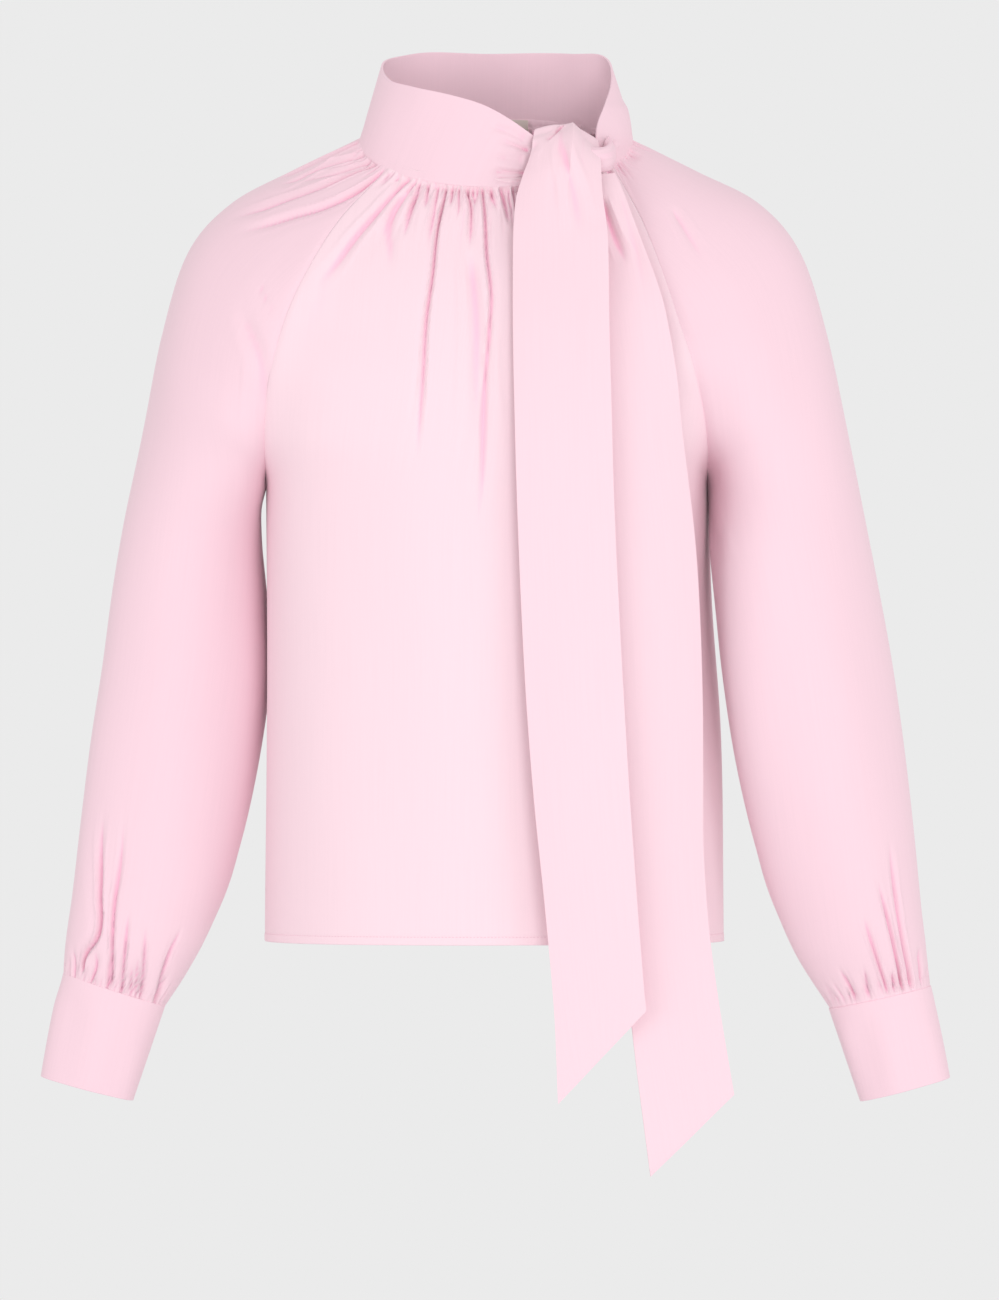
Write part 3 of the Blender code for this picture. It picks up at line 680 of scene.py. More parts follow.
def cloth_piece(name, points, over, down, flip, thickness=CLOTH, weld_from=None, bevel=0.0):
    """A piece of cloth from a grid of points, thickened inward. Its two side edges are welded
    from the row weld_from on, and its cut edges are rounded where a bevel is given."""
    rows, columns = over.shape
    mesh = bmesh.new()
    bmesh.ops.create_grid(mesh, x_segments=columns - 1, y_segments=rows - 1, size=1)
    hollow = mesh.verts.layers.float.new(HOLLOW_NAME)
    flat = np.array([vert.co[:] for vert in mesh.verts])
    order = np.lexsort((flat[:, 0], -flat[:, 1].round(6)))
    lengths = np.zeros((rows * columns, 2))
    lengths[order] = np.stack((over, down), axis=-1).reshape(-1, 2)
    verts = list(mesh.verts)
    for place, index in zip(points.reshape(-1, 3) * MM, order):
        verts[index].co = place
    layer = mesh.loops.layers.uv.new(UV_NAME)
    for face in mesh.faces:
        for loop in face.loops:
            loop[layer].uv = lengths[loop.vert.index]
    if flip:
        bmesh.ops.reverse_faces(mesh, faces=mesh.faces)
    mark_hollows(mesh, hollow, verts, order, points)
    if weld_from is not None:
        ends = [verts[index] for row in range(weld_from, rows)
                for index in (order[row * columns], order[(row + 1) * columns - 1])]
        bmesh.ops.remove_doubles(mesh, verts=ends, dist=WELD * MM)
    piece = object_of(name, mesh)
    solid = piece.modifiers.new("cloth", "SOLIDIFY")
    solid.thickness = thickness * MM
    solid.offset = -1
    solid.use_even_offset = False
    if bevel:
        edge = piece.modifiers.new("rounded edge", "BEVEL")
        edge.width = bevel * MM
        edge.segments = BEVEL_SEGMENTS
        edge.profile = 0.5
        edge.limit_method = "ANGLE"
        edge.angle_limit = math.radians(BEVEL_FROM_ANGLE)
    widest, longest = np.ptp(over, axis=1).max(), np.ptp(down, axis=0).max()
    print(f"{name}: grid {rows} x {columns}, {widest:.0f} mm at its widest, {longest:.0f} mm long")
    return piece


def sew_in(piece, node):
    """The piece belongs to the garment's one body and stands for a CAD node."""
    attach(piece, "root")
    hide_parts(node)


# %% [markdown]
# ## The neckline ring and the standing band
#
# The neckline seam runs through the top rows of the front, the back and both sleeves. The band
# stands on it. Each panel's top runs on for a few millimetres inside the band, as the seam
# allowance does.

# %% The neckline seam at a turn round the neck, and the way up the band from there
RING_POINTS = np.linspace(-1, 1, 81)
RING = np.concatenate(
    [body_row(face, 0, RING_POINTS) for face in ("front", "back")]
    + [sleeve_row(side, 0, RING_POINTS) for side in ("right", "left")]
)
RING_TURNS = np.degrees(np.arctan2(-RING[:, 0], -RING[:, 1])) % 360
RING_ORDER = np.argsort(RING_TURNS)


def neck_ring(turn):
    """The neckline seam at a turn, 0 in front and 90 at the wearer's right."""
    turns, ring = RING_TURNS[RING_ORDER], RING[RING_ORDER]
    return np.array([np.interp(turn % 360, turns, ring[:, i], period=360) for i in range(3)])


def up_the_band(point):
    """The direction from a point of the neckline up the inside of the band."""
    turn = math.degrees(math.atan2(-point[0], -point[1])) % 360
    if turn > BAND_END:
        turn -= 360
    return unit(read(BAND_TOP, "x y z", max(turn, BAND_START)) - neck_ring(turn))


print("neckline seam is", round(float(np.ptp(RING[:, 0]))), "mm wide")

# %% [markdown]
# ## Seams
#
# A seam shows as a fine groove where two panels turn in and meet. The panels' creases die away
# beside a raglan seam, so that the two edges meet without a step.

# %% The groove along a seam, and the seam allowance at the neckline
SEAM_DEPTH = 0.05
SEAM_WIDTH = 1.2
CREASES_STOP = 4.0
HELD_SHARE = 0.10
HELD_REACH = 4.5
CUFF_HELD = 0.08
CUFF_HELD_FROM = 0.8
CUFF_HELD_REACH = 5.0
FILL = 4.0
FILL_WIDTH = 16
FILL_LOW = (-262, -215)
FILL_HIGH = (-110, -45)
FRONT_OF = -20
ALLOWANCE = 4.5
ALLOWANCE_ROWS = 6


def from_side(sheet):
    """How far each point lies from the nearer side edge of its panel."""
    return np.minimum(sheet.over - sheet.over[:, [0]], sheet.over[:, [-1]] - sheet.over)


def beside_seams(sheet, lift):
    """The lift with its side edges brought to the seam's groove, and its gathers held at the
    top."""
    edge = from_side(sheet)
    held = HELD_SHARE + (1 - HELD_SHARE) * ramp(sheet.down, 0, HELD_REACH)
    return lift * held * ramp(edge, 0, CREASES_STOP) - SEAM_DEPTH * bell(edge, SEAM_WIDTH)


def filled(sheet):
    """The cloth bridges the deep valley of a raglan seam on the chest: its edges stand out."""
    height = sheet.seen[..., 1]
    along = ramp(height, *FILL_LOW) * (1 - ramp(height, *FILL_HIGH))
    return FILL * along * bell(from_side(sheet), FILL_WIDTH) * (sheet.points[..., 1] < FRONT_OF)


def with_allowance(sheet, points, height=ALLOWANCE):
    """The panel with a few rows more above its top edge, up the inside of the band. Its gathers
    are held flat at the top, where it goes into the band."""
    edge, over, down = sheet.points[0], sheet.over, sheet.down
    ways = np.array([up_the_band(point) for point in edge])
    inward = unit(edge * (-1, -1, 0))
    shares = np.linspace(1, 0, ALLOWANCE_ROWS, endpoint=False)
    extra = []
    for share in shares:
        row = edge + (points[0] - edge) * (1 - ramp(share, 0.5, 1)) + ways * height * share
        extra.append(row + inward * (0.8 * math.sin(math.pi * share) - 0.3 * share))
    heights = [down[0] - height * share for share in shares]
    return (
        np.concatenate((extra, points)),
        np.concatenate((np.repeat(over[:1], len(shares), axis=0), over)),
        np.concatenate((heights, down)),
    )


# %% [markdown]
# ## The front
#
# One plain panel, gathered at the neckline between the two raglan seams. Its gathers are the
# strongest creases of the blouse: about one valley every 6 mm at the band, most of them short, a
# few of them long and sharp down to the chest. Each line below is one of them, with the places
# where the camera sees it.

# %% Creases of the front: depth, half width, sharpness, fade in, fade from, then the line
FRONT_CREASES = creases(
    (6.0, 4.0, 0.5, 0, 0.5, (-65, -30), (-75.5, -40), (-87.5, -54.5), (-104, -73.5), (-122, -99),
     (-137, -117)),
    (6.0, 1.9, 1.0, 0, 0.5, (-57.5, -34), (-63.5, -54.5), (-69.5, -79.5)),
    (3.6, 6.0, 0.0, 0.1, 0.5, (-68, -39), (-77, -54.5), (-80, -71), (-79, -95), (-82, -106)),
    (5.2, 1.7, 1.0, 0, 0.4, (-50.5, -35.5), (-53, -56)),
    (5.6, 2.4, 0.8, 0, 0.5, (-43, -36.5), (-46.5, -58), (-49, -74), (-49.5, -87)),
    (6.6, 1.8, 1.0, 0, 0.6, (-37, -38), (-43, -68), (-46.5, -101), (-51.5, -137), (-54, -179),
     (-57, -221), (-59, -255)),
    (5.0, 1.6, 1.0, 0, 0.4, (-32, -38), (-34, -54)),
    (5.0, 1.6, 1.0, 0, 0.4, (-27, -38.5), (-27.5, -55), (-29, -64)),
    (6.6, 1.8, 1.0, 0, 0.6, (-21, -38.5), (-18, -53), (-18, -64), (-19, -86)),
    (4.4, 9.0, 0.0, 0.15, 0.6, (-19, -80), (-14, -137), (-13, -182), (-11, -220), (-13, -265)),
    (5.0, 1.5, 1.0, 0, 0.4, (-16.5, -38.5), (-15, -50)),
    (6.8, 1.8, 1.0, 0, 0.6, (-9.6, -39), (-7.5, -61.5), (-6.5, -85), (-3, -120), (-4.4, -148),
     (-7, -179), (-8.5, -211), (-9.6, -255), (-14, -303)),
    (5.6, 1.6, 1.0, 0, 0.5, (-3, -39), (2, -56)),
    (6.0, 1.8, 1.0, 0, 0.5, (4, -39), (8, -51), (12, -68)),
    (4.8, 1.7, 1.0, 0, 0.4, (10, -38.5), (13, -58), (15, -75)),
    (4.8, 1.7, 1.0, 0, 0.4, (13.5, -38), (17, -60), (22, -85)),
    (2.6, 2.6, 0.9, 0, 0.4, (21, -38), (27, -70), (30, -110)),
    (3.4, 2.6, 0.9, 0, 0.4, (29, -37), (36, -75), (42, -130), (45, -190)),
    (2.6, 2.2, 0.9, 0, 0.3, (36, -36), (43, -60), (47, -84)),
    (3.2, 2.4, 0.9, 0, 0.4, (43, -35), (55, -70), (64, -120)),
    (2.6, 2.2, 0.9, 0, 0.3, (50, -33), (62, -58)),
    (3.0, 2.6, 0.8, 0, 0.3, (58, -31), (74, -66), (86, -104)),
    (2.6, 2.2, 0.8, 0, 0.3, (66, -28), (80, -52)),
)

# %% Rows and columns of a panel
UNDERARM_AT = 1.0
BEND_REACH = 0.10
BEND_ROWS = 7
BEND_FROM_SIDE = 45


def columns_across(count, middle=0.0, spread=1.0, extra=0.0):
    """Places across a panel, closer together round the middle given."""
    fine = np.linspace(-1, 1, 2001)
    weight = np.cumsum(1 + extra * bell(fine - middle, spread))
    share = (weight - weight[0]) / (weight[-1] - weight[0])
    return np.interp(np.linspace(0, 1, count + 1), share, fine)


def smoothed(points, places):
    """The panel with its bend at the underarm rounded off, away from its side edges."""
    kernel = np.exp(-np.linspace(-2, 2, 2 * BEND_ROWS + 1) ** 2)
    above, below = (np.repeat(row, BEND_ROWS, axis=0) for row in (points[:1], points[-1:]))
    padded = np.concatenate((above, points, below))
    soft = sum(weight * padded[i:i + len(points)] for i, weight in enumerate(kernel)) / kernel.sum()
    near = bell(np.array(places) - UNDERARM_AT, BEND_REACH)[:, None]
    over = lengths_along(points, axis=1)
    inner = ramp(np.minimum(over, over[:, [-1]] - over), 0, BEND_FROM_SIDE)
    return points + (soft - points) * (near * inner)[..., None]


def panel(row_at, places, across, sign):
    """The plain form of a panel as a sheet."""
    points = np.array([row_at(place, across) for place in places])
    return sheet_of(smoothed(points, places), across, sign)


# %% [markdown]
# The hem is a narrow double fold, a little thicker than the cloth above it. A row of stitches
# pulls the cloth in along the fold. The stitches are small rounded threads, joined in one mesh.

# %% The hem and its stitches
HEM_WIDTH = 6.0
HEM_THICKER = 0.25
HEM_STEP = 0.6
STITCH_PULL = 0.35
STITCH_PULL_WIDTH = 0.8
STITCH_PITCH = 2.6
STITCH_HALF = (0.95, 0.26, 0.22)
STITCH_AHEAD = 0.5


def hem(sheet):
    """The double fold at the lower edge and the line where its stitches pull the cloth in."""
    height = sheet.down[-1] - sheet.down
    fold = HEM_THICKER * (1 - ramp(height, HEM_WIDTH - HEM_STEP, HEM_WIDTH + HEM_STEP))
    return fold - STITCH_PULL * bell(height - HEM_WIDTH, STITCH_PULL_WIDTH)


def stitch_row(name, sheet, points):
    """The row of stitches that holds the hem, as one mesh."""
    height = sheet.down[-1] - sheet.down
    curve, out = (
        np.array([[np.interp(-HEM_WIDTH, -height[:, j], grid[:, j, i]) for i in range(3)]
                  for j in range(points.shape[1])])
        for grid in (points, sheet.normals)
    )
    lengths = lengths_along(curve)
    places = np.arange(STITCH_PITCH, lengths[-1] - STITCH_PITCH, STITCH_PITCH)

    def at(place, values):
        return np.array([np.interp(place, lengths, values[:, i]) for i in range(3)])

    mesh = bmesh.new()
    for place in places:
        near, ahead = at(place, curve), at(place + STITCH_AHEAD, curve)
        normal = unit(at(place, out))
        side = unit(np.cross(normal, ahead - near))
        axes = np.stack((np.cross(side, normal), side, normal), axis=1) * STITCH_HALF * MM
        turned = Matrix([[*row, centre] for row, centre in zip(axes, near * MM)] + [(0, 0, 0, 1)])
        bmesh.ops.create_icosphere(mesh, subdivisions=2, radius=1, matrix=turned)
    bmesh.ops.recalc_face_normals(mesh, faces=mesh.faces)
    print(name, "has", len(places), "stitches")
    return object_of(name, mesh)


# %% The front panel
FRONT_ROWS = stations((0.2, 46), (0.5, 30), (1.0, 32), (1.965, 44), (2.0, 16))
FRONT_COLUMNS = columns_across(240, middle=-0.22, spread=0.3, extra=1.6)
SWELLS_FROM = (30, 160)


def make_front():
    """The front panel and the stitches of its hem."""
    sheet = panel(partial(body_row, "front"), FRONT_ROWS, FRONT_COLUMNS, 1)
    lift = pressed(sheet, FRONT_CREASES)
    lift += gathers(sheet, 0.97, pitch=3.8, depth=(1.2, 3.0), length=(6, 26))
    lift += gathers(sheet, 0.95, pitch=10.0, depth=(1.6, 3.6), length=(25, 90))
    lift += swells(sheet, height=2.2, across=110, down=900) * ramp(sheet.down, *SWELLS_FROM)
    points = lifted(sheet, beside_seams(sheet, lift) + hem(sheet) + filled(sheet))
    stitches = stitch_row("hem_stitches_front", sheet, points)
    return cloth_piece("front_panel", *with_allowance(sheet, points), flip=False), stitches


front, front_stitches = make_front()
sew_in(front, "front")
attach(front_stitches, "root")

# %% [markdown]
# ## The back
#
# The same kind of panel, a little less full. Its gathers aren't in the photo, only their inner
# side shows for a few millimetres inside the neck, so they are strewn by seeded chance.

# %% The back panel
BACK_ROWS = stations((0.2, 40), (0.5, 24), (1.0, 28), (1.965, 40), (2.0, 16))
BACK_COLUMNS = columns_across(210)
BACK_ALLOWANCE = 7.5
LABEL_CENTRE = 0.10
LABEL_HALF = 0.22
FLATTER_AT_LABEL = 0.75
LABEL_END = (25, 45)


def make_back():
    """The back panel and the stitches of its hem. Behind the label its gathers are flatter."""
    sheet = panel(partial(body_row, "back"), BACK_ROWS, BACK_COLUMNS, -1)
    lift = gathers(sheet, 0.96, pitch=5.5, depth=(2.0, 4.8), length=(14, 70))
    lift += gathers(sheet, 0.9, pitch=24, depth=(2.6, 5.2), length=(90, 300))
    lift += swells(sheet, height=2.6, across=120, down=1000) * ramp(sheet.down, *SWELLS_FROM)
    at_label = np.exp(-(((sheet.across - LABEL_CENTRE) / (1.3 * LABEL_HALF)) ** 4))
    lift *= 1 - FLATTER_AT_LABEL * at_label * (1 - ramp(sheet.down, *LABEL_END))
    points = lifted(sheet, beside_seams(sheet, lift) + hem(sheet))
    stitches = stitch_row("hem_stitches_back", sheet, points)
    grown = with_allowance(sheet, points, BACK_ALLOWANCE)
    return cloth_piece("back_panel", *grown, flip=True), stitches


back, back_stitches = make_back()
sew_in(back, "back")
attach(back_stitches, "root")

# %% [markdown]
# ## The sleeves
#
# Long raglan sleeves. At the shoulder a few gathers come out from under the band and run along
# the top of the sleeve, and above the cuff a row of small ones is drawn together into it. The
# sleeve is closed to a tube below the underarm.

# %% Creases of the right sleeve at the shoulder, under the arm and above the cuff
RIGHT_CREASES = creases(
    (4.2, 1.9, 1.0, 0, 0.7, (-101, -2), (-108.7, -6), (-147, -24), (-169.5, -35)),
    (5.0, 2.0, 1.0, 0, 0.7, (-97, -12), (-116, -17), (-133, -22), (-156, -33.5), (-169, -37.5)),
    (4.6, 1.9, 1.0, 0, 0.7, (-90, -15.5), (-116, -24.5), (-134, -29), (-152, -33.5)),
    (6.4, 2.4, 0.9, 0, 0.7, (-87.5, -18.5), (-104, -24.5), (-128, -35), (-158, -46),
     (-188, -57.5), (-204, -63)),
    (6.2, 2.6, 0.9, 0, 0.7, (-79, -24), (-92, -33), (-107, -42), (-131, -53), (-152, -59),
     (-176, -66.5), (-199, -73)),
    (1.2, 2.2, 0.5, 0.1, 0.8, (-177.5, -108), (-169, -127), (-162, -136), (-160, -148)),
    (3.4, 9.0, 0.0, 0.2, 0.4, (-197, -125), (-183.5, -147), (-176, -165), (-175, -212),
     (-172, -250)),
    (8.1, 2.4, 0.8, 0.4, 0.97, (-292.5, -502), (-296, -531), (-297, -565), (-300, -603),
     (-307, -612), (-310.5, -628)),
    (4.8, 1.35, 1.0, 0.5, 1.0, (-316, -605), (-316, -632)),
    (5.1, 1.35, 1.0, 0.5, 1.0, (-301.5, -608), (-299, -621), (-305, -637)),
    (6.0, 2.1, 0.8, 0.5, 1.0, (-278, -504), (-281, -542), (-286, -576), (-288, -636)),
    (4.8, 1.27, 1.0, 0.5, 1.0, (-289, -612), (-291, -641)),
    (5.7, 1.5, 1.0, 0.5, 1.0, (-274.5, -576), (-278, -616), (-280, -643)),
    (4.5, 1.2, 1.0, 0.5, 1.0, (-273, -618), (-273, -646)),
    (4.8, 1.2, 1.0, 0.5, 1.0, (-268, -612), (-269, -648)),
    (5.4, 1.42, 1.0, 0.5, 1.0, (-262, -587), (-263, -616.5), (-265.5, -649)),
    (5.7, 1.42, 1.0, 0.4, 1.0, (-233, -590), (-246, -619), (-254, -650)),
    (4.2, 1.2, 1.0, 0.4, 1.0, (-244, -626), (-255.5, -652)),
)

# %% Creases of the left sleeve
LEFT_CREASES = creases(
    (3.4, 2.0, 1.0, 0, 0.6, (92, -5), (97, -9), (102, -12.5), (110, -17)),
    (2.8, 2.6, 0.8, 0, 0.5, (92, -29), (101, -51), (106, -66)),
    (2.0, 5.0, 0.2, 0.2, 0.5, (131.6, -51), (149, -79.5), (160, -100)),
    (2.6, 8.0, 0.0, 0.2, 0.6, (154.5, -262), (160, -295), (166, -330)),
    (6.9, 1.8, 0.9, 0.4, 1.0, (285, -552), (295, -587), (301, -613.5), (306.5, -642)),
    (5.4, 2.1, 0.7, 0.4, 1.0, (295, -521), (301, -568), (306.5, -603.5), (313.5, -640)),
    (5.1, 2.1, 0.7, 0.4, 1.0, (275, -581), (285, -612), (294, -640)),
    (4.5, 1.27, 1.0, 0.5, 1.0, (277, -622), (281, -647)),
    (5.4, 1.35, 1.0, 0.4, 1.0, (257, -624), (267, -640.5), (270.5, -652)),
    (4.5, 1.27, 1.0, 0.4, 1.0, (318, -606), (320, -632)),
    (4.2, 1.2, 1.0, 0.4, 1.0, (298, -624), (300, -642)),
    (4.2, 1.2, 1.0, 0.4, 1.0, (303, -626), (307, -643)),
)

# %% The sleeves
SLEEVE_ROWS = stations((0.15, 32), (0.5, 30), (1.0, 26), (1.75, 40), (2.0, 40))
SLEEVE_COLUMNS = columns_across(216, middle=-0.5, spread=0.4, extra=1.3)
UNDERARM_ROW = SLEEVE_ROWS.index(UNDERARM_AT)
SLEEVE_SWELLS_FROM = (40, 150)
INTO_CUFF = (1.5, 5.0)
INTO_CUFF_SLANT = 0.2
ELBOW_FULLNESS = {"right": 3.5, "left": 0.0}
ELBOW_DOWN = 360
ELBOW_LENGTH = 150
ELBOW_ACROSS = 0.35


def cuff_ring(side, across):
    """The lower ring of a cuff, from its inner line over the outer one and back."""
    end = CUFF_END[side]
    outer, inner = (np.array(end[name], float) for name in ("outer", "inner"))
    reach = np.array((0, end["reach"], 0))
    return two_arcs((inner, inner), (-reach, reach), outer, (-reach, reach), across)


def make_sleeve(side, items, sign):
    """A sleeve. Its own creases are on the side that the photo shows, and gathers strewn by chance
    are deep on the hidden side and small on the other."""
    sheet = panel(partial(sleeve_row, side), SLEEVE_ROWS, SLEEVE_COLUMNS, sign)
    away = 1 - ramp(sheet.facing, -0.2, 0.1)
    lift = pressed(sheet, items)
    lift += gathers(sheet, 0.95, pitch=5.5, depth=(2.0, 4.6), length=(12, 80)) * away
    lift += gathers(sheet, 0.95, pitch=4.2, depth=(0.8, 2.2), length=(8, 34)) * (1 - away)
    lift += gathers(sheet, 0.97, 5.0, (2.2, 5.0), (12, 80), from_end=True) * away
    lift += gathers(sheet, 0.97, 3.6, (1.2, 2.8), (8, 26), from_end=True) * (1 - away)
    lift += swells(sheet, height=1.8, across=90, down=700) * ramp(sheet.down, *SLEEVE_SWELLS_FROM)
    height = sheet.down[-1] - sheet.down
    lift *= CUFF_HELD + (1 - CUFF_HELD) * ramp(height, CUFF_HELD_FROM, CUFF_HELD_REACH)
    lift = beside_seams(sheet, lift) + filled(sheet)
    elbow = bell(sheet.down - ELBOW_DOWN, ELBOW_LENGTH) * bell(sheet.across, ELBOW_ACROSS)
    points = lifted(sheet, lift + ELBOW_FULLNESS[side] * elbow)
    points, over, down = with_allowance(sheet, points)
    way = unit(cuff_ring(side, sheet.across) - sheet.points[-1])
    inward = sheet.normals[-1] * INTO_CUFF_SLANT
    points = np.concatenate((points, [points[-1] + (way - inward) * reach for reach in INTO_CUFF]))
    over = np.concatenate((over, [over[-1]] * len(INTO_CUFF)))
    down = np.concatenate((down, [down[-1] + reach for reach in INTO_CUFF]))
    closed_from = UNDERARM_ROW + ALLOWANCE_ROWS
    return cloth_piece("sleeve_panel_" + side, points, over, down, sign < 0, weld_from=closed_from)


sleeve_right = make_sleeve("right", RIGHT_CREASES, -1)
sleeve_left = make_sleeve("left", LEFT_CREASES, 1)
sew_in(sleeve_right, "sleeve_right")
sew_in(sleeve_left, "sleeve_left")

# %% [markdown]
# ## The cuffs
#
# Plain straight cuffs of double cloth with a stiffening between the layers, so they stay smooth
# while the sleeve above them gathers. The sleeve runs on for 5 mm inside its cuff. The right cuff
# starts a little above the seam and the left one a little below it, where the photo has them.

# %% The cuffs
CUFF_THICKNESS = 1.4
CUFF_OVERLAP = {"right": 2.0, "left": -1.4}
CUFF_OUT = 0.45
CUFF_SWELL = 0.5
CUFF_COLUMNS = np.linspace(-1, 1, 181)
CUFF_ROWS = np.concatenate(
    (np.linspace(0, 0.04, 4), np.linspace(0.04, 0.96, 18)[1:], np.linspace(0.96, 1, 4)[1:])
)
BAND_BEVEL = 0.6


def make_cuff(side, sign):
    """A cuff as a closed band between the sleeve's end and its own lower ring."""
    top = sleeve_row(side, 2, CUFF_COLUMNS)
    bottom = cuff_ring(side, CUFF_COLUMNS)
    top = top - unit(bottom - top) * CUFF_OVERLAP[side]
    points = np.array([top + (bottom - top) * share for share in CUFF_ROWS])
    sheet = sheet_of(points, CUFF_COLUMNS, sign)
    lift = CUFF_SWELL * np.sin(math.pi * CUFF_ROWS)[:, None]
    waves = swells(sheet, height=1.8, across=48, down=260)
    lift = lift + waves * ramp(CUFF_ROWS, 0.05, 0.35)[:, None]
    lift = lift * ramp(1 - np.abs(CUFF_COLUMNS), 0, 0.2) + CUFF_OUT
    points = lifted(sheet, lift)
    points[:, -1] = points[:, 0]
    return cloth_piece("cuff_" + side + "_cloth", points, sheet.over, sheet.down, sign < 0,
                       CUFF_THICKNESS, weld_from=0, bevel=BAND_BEVEL)


cuff_right = make_cuff("right", -1)
cuff_left = make_cuff("left", 1)
sew_in(cuff_right, "cuff_right")
sew_in(cuff_left, "cuff_left")

# %% [markdown]
# ## The neckband
#
# The middle of the long tie strip: double cloth with its fold at the top. It is sewn to the
# gathered neckline and stands up by itself, higher at the back than in front.

# %% Creases of the neckband
BAND_CREASES = creases(
    (2.8, 5.0, 0.1, 0.4, 0.9, (-6, 9), (8, 5), (24, -2)),
    (2.2, 5.0, 0.1, 0.4, 0.9, (-2, -14), (10, -16), (22, -18)),
    (4.0, 2.8, 0.6, 0.4, 0.95, (0, 0), (4.5, -2), (16.5, -7), (26, -10.5)),
    (3.4, 2.0, 0.7, 0.3, 0.95, (-4.5, -28), (4.5, -26), (19, -27), (24, -27.5)),
    (3.4, 2.0, 0.7, 0.3, 0.95, (-2, -31), (10.5, -33), (18, -32), (24, -31)),
    (3.2, 1.8, 1.0, 0.2, 0.95, (91, -2), (88, -7), (84.5, -12), (77, -15)),
)

# %% The neckband
BAND_THICKNESS = 1.5
BAND_OUT = 0.55
BAND_BELOW = 1.8
STRAND_TURN = 272
STRAND_WIDTH = 13
STRAND_OUT = 2.0


def make_neckband():
    """The band between the neckline and its top edge, rolled outward. Where it comes round to the
    crossing, at the wearer's left, it stands out as one strand of the half knot."""
    turns = np.linspace(BAND_START, BAND_END, 301)
    ring = np.array([neck_ring(turn) for turn in turns])
    top = np.array([read(BAND_TOP, "x y z", turn) for turn in turns])
    roll = np.array([read(BAND_TOP, "roll", turn) for turn in turns])
    bottom = ring - unit(top - ring) * BAND_BELOW
    outward = unit(ring * (1, 1, 0)) * roll
    shares = np.linspace(1, 0, 41)
    points = np.array(
        [bottom + (top - bottom) * share + outward * math.sin(math.pi * share) for share in shares]
    )
    sheet = sheet_of(points, np.linspace(-1, 1, len(turns)), -1)
    lift = pressed(sheet, BAND_CREASES) + swells(sheet, height=0.7, across=70, down=120)
    lift += gathers(sheet, 1, pitch=9.0, depth=(0.15, 0.5), length=(5, 16), from_end=True)
    lift += BAND_OUT * ramp(shares[:, None], 0.2, 0.0)
    height = sheet.seen[..., 1]
    strand = ramp(-height, -29, -20) * ramp(height, -14, 0)
    strand = strand * bell(turns - STRAND_TURN, STRAND_WIDTH)
    points = lifted(sheet, lift + STRAND_OUT * strand)
    return cloth_piece("neckband_cloth", points, sheet.over, sheet.down, True, BAND_THICKNESS,
                       bevel=BAND_BEVEL)


neckband = make_neckband()
sew_in(neckband, "neckband")

# %% [markdown]
# ## The tie tails
#
# The two ends of the strip, about 7 cm wide, of double cloth with a slanted end. The front one
# comes out of the neck over the band and falls in front, the other one hangs beside and behind it.

# %% Creases of the tails as the camera sees them
FRONT_TAIL_CREASES = creases(
    (5.0, 1.5, 0.9, 0, 0.7, (50.5, 8), (46, 4.5), (40, -0.3), (36.5, -2.5)),
    (4.0, 7.0, 0.1, 0.25, 0.6, (49, 2), (52, -15), (58.5, -38), (61.5, -55.5), (64, -80)),
    (1.8, 5.0, 0.1, 0.2, 0.5, (33, -2), (26, -10), (21, -30)),
)
BACK_TAIL_CREASES = creases(
    (6.0, 4.0, 0.5, 0.2, 0.6, (80, -44), (84.5, -58.5), (90, -75), (96, -88), (101, -98)),
    (1.2, 5.0, 0.1, 0.2, 0.5, (92, -34), (99, -60), (107, -90), (115, -130)),
    (0.9, 3.0, 0.4, 0.2, 0.8, (172, -683), (157, -700), (140, -719)),
)

# %% The tails
TIE_THICKNESS = 1.0
TIE_BEVEL = 0.4
TIE_SWELLS_FROM = (60, 200)

# Height of the front tail's top fold over the line between its edges, by the share across it
TOP_FOLD = table(
    "at height",
    (0, -9.5), (0.16, -6.0), (0.33, -2.5), (0.42, -2.0), (0.50, 1.0),
    (0.60, 5.0), (0.67, 1.2), (0.74, -3.0), (0.87, -8.0), (1, -11.5),
)
# The sections of the tail where the fold rises, is whole, falls and ends
TOP_FOLD_ROWS = (1.2, 2.6, 4.4, 8.0)
FOLD_WAY = np.array((0, -0.2, 1))


def numbered(sections, column):
    """The table with its rows numbered, so that it can be read at any place between them."""
    return dict(sections, at=np.arange(len(sections[column]), dtype=float))


def make_tail(name, sections, items, columns, rows, top_fold=False):
    """A tail between its left and its right edge, arched a little between them."""
    sections = numbered(sections, "up")
    share = np.linspace(0, 1, columns + 1)[:, None]
    arch = 4 * share * (1 - share)
    points = []
    for where in np.linspace(0, sections["at"][-1], rows + 1):
        left = read(sections, "left_x left_y left_z", where)
        right = read(sections, "right_x right_y right_z", where)
        up, out = read(sections, "up out", where)
        row = left + (right - left) * share + np.array((0, -out, up)) * arch
        if top_fold:
            rise, whole, fall, end = TOP_FOLD_ROWS
            at_top = ramp(where, rise, whole) * (1 - ramp(where, fall, end))
            fold = np.interp(share, TOP_FOLD["at"], TOP_FOLD["height"])
            row = row + (fold - up * arch) * at_top * FOLD_WAY
        points.append(row)
    sheet = sheet_of(np.array(points), np.linspace(-1, 1, columns + 1), 1)
    lift = pressed(sheet, items)
    lift += swells(sheet, height=0.8, across=80, down=500) * ramp(sheet.down, *TIE_SWELLS_FROM)
    return cloth_piece(name, lifted(sheet, lift), sheet.over, sheet.down, False, TIE_THICKNESS,
                       bevel=TIE_BEVEL)


